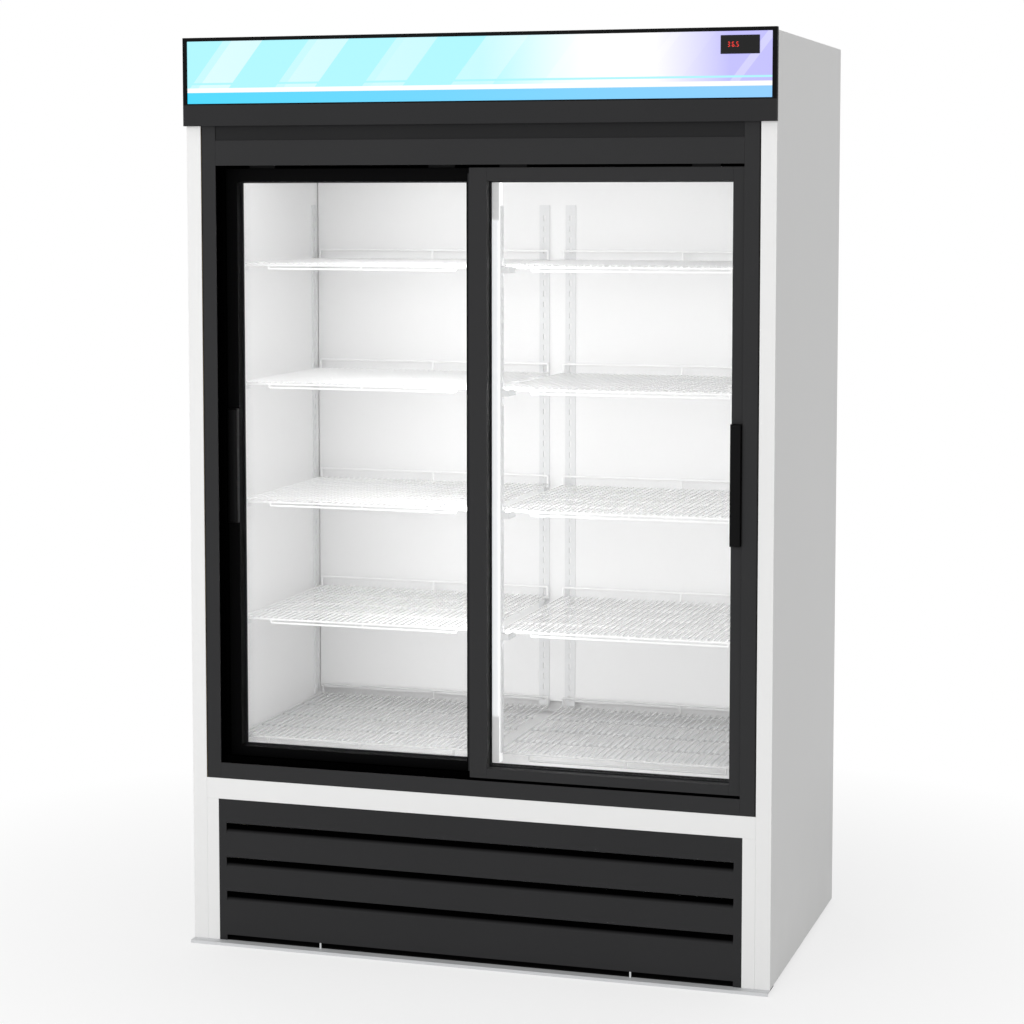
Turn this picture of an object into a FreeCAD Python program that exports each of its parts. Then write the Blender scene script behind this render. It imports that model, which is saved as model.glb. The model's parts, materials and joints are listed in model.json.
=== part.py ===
import FreeCAD, Part
import math
import os
import Sketcher
from types import SimpleNamespace

# Glass-door merchandiser refrigerator with two sliding doors, in millimetres.
# +Z is up, the doors face -Y, and the origin is on the floor under the middle of the cabinet.

SIZES = (
    # cabinet shell
    ("cabinet_width", 1306.0, "across the outer faces of the side panels"),
    ("cabinet_depth", 735.0, "from the front face to the rear panel"),
    ("cabinet_height", 1994.0, "from the floor to the top panel"),
    ("skin", 1.2, "outer sheet metal"),
    ("liner_sheet", 1.0, "inner sheet metal"),
    ("side_wall", 45.0, "outer side face to the liner"),
    ("rear_wall", 56.0, "outer rear face to the liner"),
    ("roof_wall", 56.0, "outer top to the liner"),
    ("floor_level", 425.0, "top of the liner floor"),
    ("floor_wall", 80.0, "insulated floor with its sheet"),
    ("post_width", 33.0, "white front post beside the door frame"),
    ("apron_post", 28.0, "white strip between post and grille"),
    ("base_level", 18.0, "underside of the base pan"),
    ("base_sheet", 2.0, "base pan sheet"),
    ("base_flange", 40.0, "upright edge of the base pan"),
    ("toe_out", 22.0, "toe rail in front of the face"),
    ("toe_height", 7.0, "toe rail above the floor"),
    ("toe_depth", 60.0, "toe rail, front to back"),
    ("toe_sheet", 2.0, "toe rail sheet"),
    ("tab_offset", 352.0, "grille tab from the middle"),
    ("tab_width", 4.0, "grille tab"),
    ("foot_pad", 24.0, "levelling foot pad radius"),
    ("foot_stem", 6.0, "levelling foot stem radius"),
    ("foot_rim", 8.0, "levelling foot pad height"),
    ("foot_inset", 70.0, "levelling foot from the cabinet sides"),
    # door frame and track
    ("frame_depth", 104.0, "door frame, front to back"),
    ("frame_bottom", 372.5, "underside of the sill"),
    ("sill_face", 35.1, "sill height seen from the front"),
    ("head_face", 87.3, "head height seen from the front"),
    ("head_step", 33.0, "recessed band at the top of the head"),
    ("head_recess", 2.0, "depth of that band"),
    ("head_lap", 2.0, "head behind the header trim"),
    ("head_drop", 16.0, "rear wall of the head below its front wall"),
    ("jamb_face", 34.4, "jamb width seen from the front"),
    ("jamb_web", 3.0, "jamb back web"),
    ("jamb_lip", 4.0, "jamb front and rear lips"),
    ("jamb_chamfer", 4.0, "outer edge of the jamb"),
    ("frame_wall", 3.0, "head and sill walls"),
    ("rail_rise", 18.3, "underside of the track lip above the opening"),
    ("rail_sheet", 3.0, "track lip and web"),
    ("rail_lip", 16.0, "track lip width"),
    ("rail_ahead", 6.0, "track lip in front of the wheel plane"),
    ("guide_rib", 3.0, "floor guide thickness"),
    ("guide_rise", 12.0, "floor guide above the sill"),
    # doors
    ("front_lane", 5.0, "front face of the right door behind the cabinet face"),
    ("lane_gap", 20.0, "between the two doors"),
    ("door_depth", 37.0, "door frame depth"),
    ("door_clear_top", 6.2, "gap above the doors"),
    ("door_clear_bottom", 5.2, "gap below the doors"),
    ("meeting_over", 7.0, "door past the cabinet middle"),
    ("jamb_tuck", 14.4, "door behind the jamb lip"),
    ("stile_width", 38.6, "door stile"),
    ("top_rail", 28.5, "door top rail"),
    ("bottom_rail", 21.5, "door bottom rail"),
    ("glass_recess", 21.0, "glass behind the stile face"),
    ("pane", 4.0, "glass thickness"),
    ("pane_gap", 6.0, "between the two panes"),
    ("glass_bite", 7.0, "glass inside the stile"),
    ("bite_clear", 1.0, "beyond the glass edge"),
    ("spacer_sight", 2.7, "spacer seen beside the stile"),
    ("guide_slot", 7.0, "slot under the door"),
    ("guide_deep", 9.5, "slot height"),
    ("edge_strip", 5.0, "rubber strip on the meeting edge"),
    ("strip_inset", 6.0, "rubber strip from the door faces"),
    ("seal_width", 18.0, "meeting seal"),
    ("seal_clear", 0.3, "meeting seal to the other door"),
    ("seal_inset", 12.0, "meeting seal from the door ends"),
    ("handle_length", 254.0, "pull handle"),
    ("handle_middle", 1064.0, "pull handle centre above the floor"),
    ("handle_width", 22.4, "pull handle"),
    ("handle_out", 18.0, "pull handle in front of the stile"),
    ("handle_round", 6.0, "pull handle edge radius"),
    ("hanger_width", 60.0, "hanger plate"),
    ("hanger_sheet", 3.0, "hanger plate thickness"),
    ("hanger_inset", 96.0, "hanger from the door edge"),
    ("hanger_ahead", 13.0, "hanger plate in front of the wheel plane"),
    ("hanger_top", 15.0, "hanger plate above the axle"),
    ("axle_radius", 4.0, "hanger axle"),
    ("axle_head", 7.0, "hanger axle head radius"),
    ("axle_head_thick", 1.8, "hanger axle head"),
    ("roller_radius", 14.0, "hanger wheel"),
    ("roller_width", 8.0, "hanger wheel"),
    ("roller_edge", 1.0, "hanger wheel edge chamfer"),
    ("bore_clear", 0.05, "wheel or fan bore on its shaft"),
    ("running_clear", 0.3, "wheel above the track, wheel beside its plate, line beside its coil"),
    # header sign
    ("header_height", 190.0, "header trim"),
    ("header_rise", 6.0, "header trim above the top panel"),
    ("header_out", 14.0, "header trim in front of the face"),
    ("header_over", 1.3, "header trim past the cabinet sides"),
    ("header_depth", 88.0, "sign housing behind the face"),
    ("sign_side", 10.0, "trim beside the sign"),
    ("sign_top", 8.0, "trim above the sign"),
    ("sign_bottom", 48.0, "trim below the sign"),
    ("sign_lip", 3.0, "trim in front of the sign"),
    ("sign_sheet", 3.0, "sign panel"),
    ("sign_bite", 3.0, "sign behind the trim"),
    ("thermo_width", 81.0, "thermometer case"),
    ("thermo_height", 38.0, "thermometer case"),
    ("thermo_depth", 8.0, "thermometer case"),
    ("thermo_right", 26.0, "thermometer from the sign edge"),
    ("thermo_top", 8.0, "thermometer below the sign edge"),
    ("thermo_round", 5.0, "thermometer corner radius"),
    # front grille
    ("grille_height", 319.0, "front grille"),
    ("grille_sheet", 2.0, "front grille sheet"),
    ("grille_side", 18.0, "plain strip at the grille ends"),
    ("grille_first", 53.4, "plain band above the first slot"),
    ("grille_slot", 4.0, "louvre top edge below the blade above"),
    ("grille_pitch", 77.0, "louvre spacing"),
    ("grille_lean", 10.0, "louvre top edge behind its face"),
    ("grille_bend", 19.0, "leaning part of a louvre"),
    ("grille_foot", 12.4, "open gap under the grille"),
    ("grille_depth", 14.0, "turned-back edge of the grille"),
    # product space
    ("duct_gap", 23.0, "air duct panel in front of the rear liner"),
    ("duct_bottom", 30.0, "air duct panel above the floor"),
    ("duct_side", 2.0, "air duct panel from the side walls"),
    ("evaporator_height", 208.0, "cooling unit under the ceiling"),
    ("evaporator_front", 150.0, "cooling unit behind the door frame"),
    ("evaporator_side", 120.0, "cooling unit from the side walls"),
    ("mullion_width", 56.0, "centre post"),
    ("mullion_depth", 25.0, "centre post"),
    ("mullion_sheet", 2.0, "centre post sheet"),
    ("mullion_back", 1.0, "centre post behind the door frame"),
    ("lens_width", 54.0, "centre lamp lens"),
    ("lens_depth", 3.0, "centre lamp lens"),
    ("lens_low", 105.0, "centre lamp above the floor"),
    ("lens_high", 124.0, "centre lamp below the cooling unit"),
    ("lamp_width", 18.0, "side lamp"),
    ("lamp_depth", 7.0, "side lamp"),
    ("lamp_end", 35.0, "side lamp from floor and cooling unit"),
    ("standard_width", 25.0, "slotted shelf standard"),
    ("standard_depth", 3.0, "slotted shelf standard"),
    ("standard_inset", 1.0, "front standard from the side lamp and the centre post back"),
    ("standard_rear", 14.0, "rear side standard in front of the duct panel"),
    ("standard_middle", 32.0, "rear centre standard from the middle"),
    ("standard_end", 20.0, "standard above the floor"),
    ("standard_drop", 92.0, "standard below the cooling unit"),
    ("deck_rise", 22.0, "deck top above the floor"),
    ("deck_front", 2.0, "deck front edge behind the centre post"),
    ("top_bay", 219.0, "top shelf below the cooling unit"),
    ("shelf_front", 20.0, "shelf front edge behind the centre post"),
    ("shelf_rear", 16.0, "shelf rear edge in front of the duct panel"),
    ("shelf_side", 12.0, "shelf end from the side wall"),
    ("shelf_middle", 17.0, "shelf end from the cabinet middle"),
    ("wire", 4.0, "shelf wire"),
    ("front_lip", 12.0, "shelf front wire below the shelf top"),
    ("lip_inset", 70.0, "shelf front wire from the shelf ends"),
    ("back_stop", 22.0, "back stop above the shelf"),
    ("clip_width", 16.0, "shelf clip"),
    ("clip_height", 14.0, "shelf clip"),
    ("clip_reach", 16.0, "shelf clip under the shelf"),
    # cooling unit
    ("fan_radius", 74.0, "evaporator fan"),
    ("fan_hole", 80.0, "evaporator fan opening radius"),
    ("fan_offset", 230.0, "evaporator fan from the middle"),
    ("fan_depth", 24.0, "fan hub"),
    ("fan_hub", 20.0, "fan hub radius"),
    ("fan_chord", 46.0, "fan blade chord"),
    ("fan_sheet", 2.0, "fan blade thickness"),
    ("shaft_radius", 4.0, "fan motor shaft"),
    ("motor_radius", 34.0, "evaporator fan motor"),
    ("motor_depth", 52.0, "evaporator fan motor"),
    ("motor_gap", 4.0, "fan blades to what is beside them"),
    ("motor_bracket", 24.0, "motor bracket"),
    ("coil_depth", 170.0, "evaporator coil"),
    ("coil_height", 150.0, "evaporator coil fins"),
    ("coil_side", 30.0, "evaporator coil from the cover sides"),
    ("coil_rear", 40.0, "evaporator coil in front of the rear liner"),
    ("end_plate", 3.0, "coil end plate"),
    # machine compartment
    ("condenser_left", 60.0, "condenser from the middle"),
    ("condenser_width", 480.0, "condenser coil"),
    ("condenser_height", 262.0, "condenser coil"),
    ("condenser_depth", 50.0, "condenser coil"),
    ("condenser_front", 70.0, "condenser behind the face"),
    ("shroud_depth", 34.0, "fan shroud"),
    ("shroud_hole", 122.0, "fan shroud opening radius"),
    ("cooling_fan", 114.0, "condenser fan radius"),
    ("cooling_motor", 38.0, "condenser fan motor radius"),
    ("cooling_motor_depth", 60.0, "condenser fan motor"),
    ("compressor_radius", 92.0, "compressor shell"),
    ("compressor_height", 205.0, "compressor shell"),
    ("compressor_side", 273.0, "compressor centre from the cabinet side"),
    ("compressor_rear", 230.0, "compressor centre from the rear face"),
    ("compressor_foot", 230.0, "compressor foot plate"),
    ("pan_width", 380.0, "condensate pan"),
    ("pan_depth", 200.0, "condensate pan"),
    ("pan_height", 45.0, "condensate pan"),
    ("pan_sheet", 2.0, "condensate pan"),
    ("pan_rear", 60.0, "condensate pan from the rear face"),
    ("box_width", 130.0, "control box"),
    ("box_depth", 110.0, "control box"),
    ("box_height", 150.0, "control box"),
    ("box_front", 60.0, "control box behind the face"),
    ("pipe_radius", 5.0, "copper line"),
    ("pipe_bend", 40.0, "copper line bend radius"),
    ("vent_slot", 7.0, "rear grille slot height"),
    ("vent_length", 250.0, "rear grille slot"),
    ("vent_pitch", 22.0, "rear grille slot spacing"),
    ("vent_first", 70.0, "first rear slot above the base pan"),
    ("gland_out", 22.0, "cord inlet behind the rear face"),
    ("gland_radius", 11.0, "cord inlet neck radius"),
    ("gland_tip", 9.5, "cord inlet neck radius at its end"),
    ("gland_flange", 17.0, "cord inlet flange radius"),
    ("gland_sheet", 4.0, "cord inlet flange"),
    ("gland_bore", 5.0, "cord inlet bore radius"),
    ("gland_side", 90.0, "cord inlet from the cabinet side"),
    ("gland_level", 60.0, "cord inlet above the base pan"),
    ("screw_radius", 5.0, "panel screw head"),
    ("screw_head", 2.5, "panel screw head height"),
    ("screw_inset", 14.0, "panel screw from the panel edge"),
)

# counts, and shares of the fan and the compressor shell
SHELF_LEVELS = 4
SHELF_WIRES = 41
SHELF_BARS = 5
LOUVRES = 2
FAN_BLADES = 5
FAN_ANGLE = 32.0
FAN_ROOT_SHARE = 0.95
COMPRESSOR_SHARES = ((0, 0.8), (0.12, 0.86), (0.16, 1.0), (0.62, 1.0), (0.86, 0.78), (1.0, 0.3))
VENT_ROWS = 10
REAR_SCREWS = 6

doc = FreeCAD.newDocument("merchandiser")
sheet = doc.addObject("Spreadsheet::Sheet", "Sizes")
pieces = {}


class Dim:
    """A size, or sizes worked together: its number now and the expression that ties it to the sheet."""

    def __init__(self, text, value):
        self.text = text
        self.value = value

    @staticmethod
    def of(number):
        return number if isinstance(number, Dim) else Dim(f"{float(number):.6f}", float(number))

    def joined(self, other, sign, value):
        return Dim(f"({self.text} {sign} {other.text})", value)

    def __add__(self, other):
        other = Dim.of(other)
        return self.joined(other, "+", self.value + other.value)

    def __sub__(self, other):
        other = Dim.of(other)
        return self.joined(other, "-", self.value - other.value)

    def __mul__(self, other):
        other = Dim.of(other)
        return self.joined(other, "*", self.value * other.value)

    def __truediv__(self, other):
        other = Dim.of(other)
        return self.joined(other, "/", self.value / other.value)

    def __radd__(self, other):
        return Dim.of(other) + self

    def __rsub__(self, other):
        return Dim.of(other) - self

    def __rmul__(self, other):
        return Dim.of(other) * self

    def __neg__(self):
        return Dim.of(-1) * self


def read_sizes():
    found = SimpleNamespace()
    for row, (alias, value, meaning) in enumerate(SIZES, start=1):
        sheet.set(f"A{row}", meaning)
        sheet.set(f"B{row}", str(value))
        sheet.setAlias(f"B{row}", alias)
    doc.recompute()
    for alias, value, meaning in SIZES:
        setattr(found, alias, Dim(f"Sizes.{alias}", float(sheet.get(alias))))
    return found


S = read_sizes()

# levels and planes that several pieces share
HALF = S.cabinet_width / 2
FACE = (S.toe_out - S.cabinet_depth - S.gland_out) / 2
BACK = FACE + S.cabinet_depth
INNER = HALF - S.skin
LINER = HALF - S.side_wall
LINER_BACK = BACK - S.rear_wall
CEILING = S.cabinet_height - S.roof_wall
FLOOR = S.floor_level
FLOOR_UNDER = FLOOR - S.floor_wall
DECK = FLOOR + S.deck_rise
FRAME = HALF - S.post_width
OPENING = FRAME - S.jamb_face
FRAME_BACK = FACE + S.frame_depth
HEADER_TOP = S.cabinet_height + S.header_rise
HEADER_BOTTOM = HEADER_TOP - S.header_height
FRAME_TOP = HEADER_BOTTOM + S.head_lap
OPENING_TOP = FRAME_TOP - S.head_face
SILL = S.frame_bottom + S.sill_face
DOOR_LOW = SILL + S.door_clear_bottom
DOOR_HIGH = OPENING_TOP - S.door_clear_top
REAR_LANE = S.front_lane + S.door_depth + S.lane_gap
TRACK = OPENING_TOP + S.rail_rise + S.rail_sheet
AXLE = TRACK + S.running_clear + S.roller_radius
GRILLE = FRAME - S.apron_post
GRILLE_TOP = S.toe_height + S.grille_height
BASE = S.base_level + S.base_sheet
DUCT = LINER_BACK - S.duct_gap
COOLER_LOW = CEILING - S.evaporator_height
COOLER_HALF = LINER - S.evaporator_side
COOLER_FRONT = FRAME_BACK + S.evaporator_front
MULLION_FRONT = FRAME_BACK + S.mullion_back
MULLION_BACK = MULLION_FRONT + S.mullion_depth
TOP_SHELF = COOLER_LOW - S.top_bay
SHELF_PITCH = (TOP_SHELF - DECK) / SHELF_LEVELS
FAN_HALF = S.fan_chord * math.cos(math.radians(FAN_ANGLE)) / 2 + S.fan_sheet
UPRIGHT = FreeCAD.Rotation(FreeCAD.Vector(1, 0, 0), 90)


def bind(thing, **sizes):
    for name, size in sizes.items():
        thing.setExpression(name, Dim.of(size).text)
    return thing


def place(thing, x, y, z, turn=None):
    if turn is not None:
        thing.Placement = FreeCAD.Placement(FreeCAD.Vector(), turn)
    for axis, size in zip("xyz", (x, y, z)):
        thing.setExpression(f"Placement.Base.{axis}", Dim.of(size).text)
    return thing


def block(name, x, y, z):
    """A box between pairs of planes along X, Y and Z."""
    box = doc.addObject("Part::Box", name)
    bind(box, Length=x[1] - x[0], Width=y[1] - y[0], Height=z[1] - z[0])
    return place(box, x[0], y[0], z[0])


def rod(name, radius, x, y, z):
    """A round bar along Y between the two planes in y."""
    bar = doc.addObject("Part::Cylinder", name)
    bind(bar, Radius=radius, Height=y[1] - y[0])
    return place(bar, x, y[0], z, FreeCAD.Rotation(FreeCAD.Vector(1, 0, 0), -90))


def mirrored(side, near, far):
    """The span from near to far on the +X side, or its mirror image."""
    return (near, far) if side > 0 else (-far, -near)


def group(name, members):
    bundle = doc.addObject("Part::Compound", name)
    bundle.Links = members
    return bundle


def cut(name, base, tools):
    piece = doc.addObject("Part::Cut", name)
    piece.Base = base
    piece.Tool = tools[0] if len(tools) == 1 else group(f"{name}_tools", tools)
    return piece


def fuse(name, members):
    piece = doc.addObject("Part::MultiFuse", name)
    piece.Shapes = members
    return piece


def node(label, piece):
    piece.Label = label
    pieces[label] = piece
    return piece


def origin_plane(body, role):
    return next(plane for plane in body.Origin.OriginFeatures if plane.Role == role)


def outline(body, name, role, points):
    """A closed sketch of straight lines on one of the body's own planes, each corner tied to sizes."""
    sketch = body.newObject("Sketcher::SketchObject", name)
    sketch.AttachmentSupport = [(origin_plane(body, role), "")]
    sketch.MapMode = "FlatFace"
    corners = [(Dim.of(u), Dim.of(v)) for u, v in points]
    count = len(corners)
    for i in range(count):
        start = FreeCAD.Vector(corners[i][0].value, corners[i][1].value, 0)
        after = corners[(i + 1) % count]
        sketch.addGeometry(Part.LineSegment(start, FreeCAD.Vector(after[0].value, after[1].value, 0)))
    for i in range(count):
        sketch.addConstraint(Sketcher.Constraint("Coincident", i, 2, (i + 1) % count, 1))
    for i, corner in enumerate(corners):
        for kind, size in zip(("DistanceX", "DistanceY"), corner):
            index = sketch.addConstraint(Sketcher.Constraint(kind, -1, 1, i, 1, size.value))
            sketch.setExpression(f"Constraints[{index}]", size.text)
    return sketch


def pad(body, name, sketch, length):
    feature = body.newObject("PartDesign::Pad", name)
    feature.Profile = sketch
    return bind(feature, Length=length)


def pocket(body, name, sketch, length, reverse):
    feature = body.newObject("PartDesign::Pocket", name)
    feature.Profile = sketch
    feature.Reversed = reverse
    return bind(feature, Length=length)


def repeat(body, name, original, sketch, length, count, downward):
    """Copies of a feature, up or down its own sketch."""
    pattern = body.newObject("PartDesign::LinearPattern", name)
    pattern.Originals = [original]
    pattern.Direction = (sketch, ["V_Axis"])
    pattern.Reversed = downward
    pattern.Occurrences = count
    bind(pattern, Length=length)
    body.Tip = pattern
    return pattern


def extrusion(name, role, points, length):
    body = doc.addObject("PartDesign::Body", name)
    pad(body, f"{name}_pad", outline(body, f"{name}_section", role, points), length)
    return body


def turned(name, points):
    """A piece turned about its own Y axis from a half section of (y, radius) corners."""
    body = doc.addObject("PartDesign::Body", name)
    sketch = outline(body, f"{name}_section", "YZ_Plane", points)
    spin = body.newObject("PartDesign::Revolution", f"{name}_turn")
    spin.Profile = sketch
    spin.ReferenceAxis = (sketch, ["H_Axis"])
    spin.Angle = 360
    return body


def round_front(body, feature, name, radius):
    """Round every edge of the face that lies furthest to -Y."""
    doc.recompute()
    front = feature.Shape.BoundBox.YMin
    flat = [f"Edge{i}" for i, edge in enumerate(feature.Shape.Edges, start=1)
            if abs(edge.BoundBox.YMax - front) < 1e-6]
    fillet = body.newObject("PartDesign::Fillet", name)
    fillet.Base = (feature, flat)
    bind(fillet, Radius=radius)
    body.Tip = fillet


def make_shell():
    for side, word in ((-1, "left"), (1, "right")):
        section = [(HALF, FACE), (HALF, BACK), (INNER, BACK), (INNER, FACE + S.skin),
                   (FRAME, FACE + S.skin), (FRAME, FACE)]
        panel = extrusion(f"{word}_side", "XY_Plane", [(side * x, y) for x, y in section],
                          S.cabinet_height - S.toe_height)
        node(f"{word}_side_panel", place(panel, 0, 0, S.toe_height))
    under_top = S.cabinet_height - S.skin
    node("top_panel", block("top", (-INNER, INNER), (FACE + S.skin, BACK), (under_top, S.cabinet_height)))
    node("rear_panel", block("rear", (-INNER, INNER), (BACK - S.skin, BACK), (FLOOR_UNDER, under_top)))
    apron = [block("apron_rail", (-FRAME, FRAME), (FACE, FACE + S.skin), (GRILLE_TOP, S.frame_bottom))]
    for side in (-1, 1):
        apron.append(block("apron_side", mirrored(side, GRILLE, FRAME), (FACE, FACE + S.skin),
                           (S.toe_height, GRILLE_TOP)))
    node("front_apron", group("apron", apron))
    whole = block("foam_whole", (-INNER, INNER), (FACE + S.skin, BACK - S.skin), (FLOOR_UNDER, under_top))
    lined = LINER + S.liner_sheet
    hollow = block("foam_hollow", (-lined, lined), (FRAME_BACK, LINER_BACK + S.liner_sheet),
                   (FLOOR - S.liner_sheet, CEILING + S.liner_sheet))
    mouth = block("foam_mouth", (-FRAME, FRAME), (FACE, FRAME_BACK), (S.frame_bottom, FRAME_TOP))
    sign = block("foam_sign", (-HALF, HALF), (FACE, FACE + S.header_depth), (FRAME_TOP, S.cabinet_height))
    carved = cut("foam_carved", whole, [hollow])
    node("foam_insulation", cut("foam", carved, [mouth, sign]))


def make_liner():
    sheet_back = LINER_BACK + S.liner_sheet
    tall = (FLOOR - S.liner_sheet, CEILING + S.liner_sheet)
    wide = (-LINER, LINER)
    deep = (FRAME_BACK, LINER_BACK)
    panels = []
    for side in (-1, 1):
        wall = mirrored(side, LINER, LINER + S.liner_sheet)
        panels.append(block("liner_wall", wall, (FRAME_BACK, sheet_back), tall))
    panels.append(block("liner_rear", wide, (LINER_BACK, sheet_back), tall))
    panels.append(block("liner_floor", wide, deep, (FLOOR - S.liner_sheet, FLOOR)))
    panels.append(block("liner_roof", wide, deep, (CEILING, CEILING + S.liner_sheet)))
    panels.append(block("liner_brow", wide, (FRAME_BACK, FRAME_BACK + S.liner_sheet), (FRAME_TOP, CEILING)))
    node("liner", group("liner_panels", panels))


def make_base():
    deep = (FACE + S.grille_depth, BACK - S.skin)
    plate = block("base_plate", (-INNER, INNER), deep, (S.base_level, BASE))
    edges = [block("base_edge", mirrored(side, INNER - S.base_sheet, INNER), deep,
                   (S.base_level, BASE + S.base_flange)) for side in (-1, 1)]
    node("base_pan", fuse("base", [plate] + edges))
    front = FACE - S.toe_out
    rear = front + S.toe_depth
    thick = S.toe_sheet
    under = S.toe_height - thick
    section = [(front, 0), (front, S.toe_height), (rear, S.toe_height), (rear, under),
               (front + thick, under), (front + thick, 0)]
    rail = place(extrusion("toe", "YZ_Plane", section, S.cabinet_width), -HALF, 0, 0)
    rises = [block("toe_riser", (-INNER, INNER), (rear - thick, rear), (under, S.base_level))]
    for side in (-1, 1):
        middle = side * S.tab_offset
        across = (middle - S.tab_width / 2, middle + S.tab_width / 2)
        rises.append(block("toe_tab", across, (FACE, FACE + S.grille_sheet),
                           (under, S.toe_height + S.grille_foot)))
    node("toe_rail", fuse("toe_with_risers", [rail] + rises))
    profile = [(0, 0), (0, S.foot_pad), (S.foot_rim / 2, S.foot_pad), (S.foot_rim, S.foot_stem),
               (S.base_level, S.foot_stem), (S.base_level, 0)]
    feet = []
    for side in (-1, 1):
        for y in (FACE + S.toe_depth + S.foot_pad, BACK - S.foot_inset):
            feet.append(place(turned("foot", profile), side * (HALF - S.foot_inset), y, 0, UPRIGHT))
    node("levelling_feet", group("feet", feet))


def make_door_frame():
    middle = FACE + S.front_lane + S.door_depth + S.lane_gap / 2
    rib = S.lane_gap / 2 - S.jamb_lip
    jambs = []
    for side in (-1, 1):
        web = FRAME - S.jamb_web
        section = [(OPENING, FACE), (FRAME - S.jamb_chamfer, FACE), (FRAME, FACE + S.jamb_chamfer),
                   (FRAME, FRAME_BACK), (OPENING, FRAME_BACK), (OPENING, FRAME_BACK - S.jamb_lip),
                   (web, FRAME_BACK - S.jamb_lip), (web, middle + rib), (OPENING, middle + rib),
                   (OPENING, middle - rib), (web, middle - rib), (web, FACE + S.jamb_lip),
                   (OPENING, FACE + S.jamb_lip)]
        jamb = extrusion("jamb", "XY_Plane", [(side * x, y) for x, y in section],
                         FRAME_TOP - S.frame_bottom)
        jambs.append(place(jamb, 0, 0, S.frame_bottom))
    node("frame_jambs", group("jambs", jambs))
    step = FRAME_TOP - S.head_step
    inner = FACE + S.head_recess + S.frame_wall
    band = FACE + S.head_recess
    wall = FRAME_BACK - S.frame_wall
    roof = FRAME_TOP - S.frame_wall
    lip = OPENING_TOP - S.head_drop
    head = [(FACE, OPENING_TOP), (FACE, step), (band, step), (band, FRAME_TOP),
            (FRAME_BACK, FRAME_TOP), (FRAME_BACK, lip), (wall, lip), (wall, roof),
            (inner, roof), (inner, OPENING_TOP)]
    node("frame_head", place(extrusion("head", "YZ_Plane", head, OPENING * 2), -OPENING, 0, 0))
    rise = SILL + S.guide_rise
    sill = [(FACE, S.frame_bottom), (FACE, SILL)]
    for lane in (S.front_lane, REAR_LANE):
        centre = FACE + lane + S.door_depth / 2
        near = centre - S.guide_rib / 2
        far = centre + S.guide_rib / 2
        sill += [(near, SILL), (near, rise), (far, rise), (far, SILL)]
    sill += [(wall, SILL), (wall, FLOOR), (FRAME_BACK, FLOOR), (FRAME_BACK, S.frame_bottom)]
    node("frame_sill", place(extrusion("sill", "YZ_Plane", sill, OPENING * 2), -OPENING, 0, 0))
    rails = []
    for lane in (S.front_lane, REAR_LANE):
        ledge = FACE + lane + S.door_depth / 2 - S.rail_ahead
        web = ledge + S.rail_lip
        under = TRACK - S.rail_sheet
        behind = web + S.rail_sheet
        section = [(ledge, under), (ledge, TRACK), (web, TRACK), (web, roof), (behind, roof),
                   (behind, under)]
        rails.append(place(extrusion("rail", "YZ_Plane", section, OPENING * 2), -OPENING, 0, 0))
    node("upper_track", group("track", rails))


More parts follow.
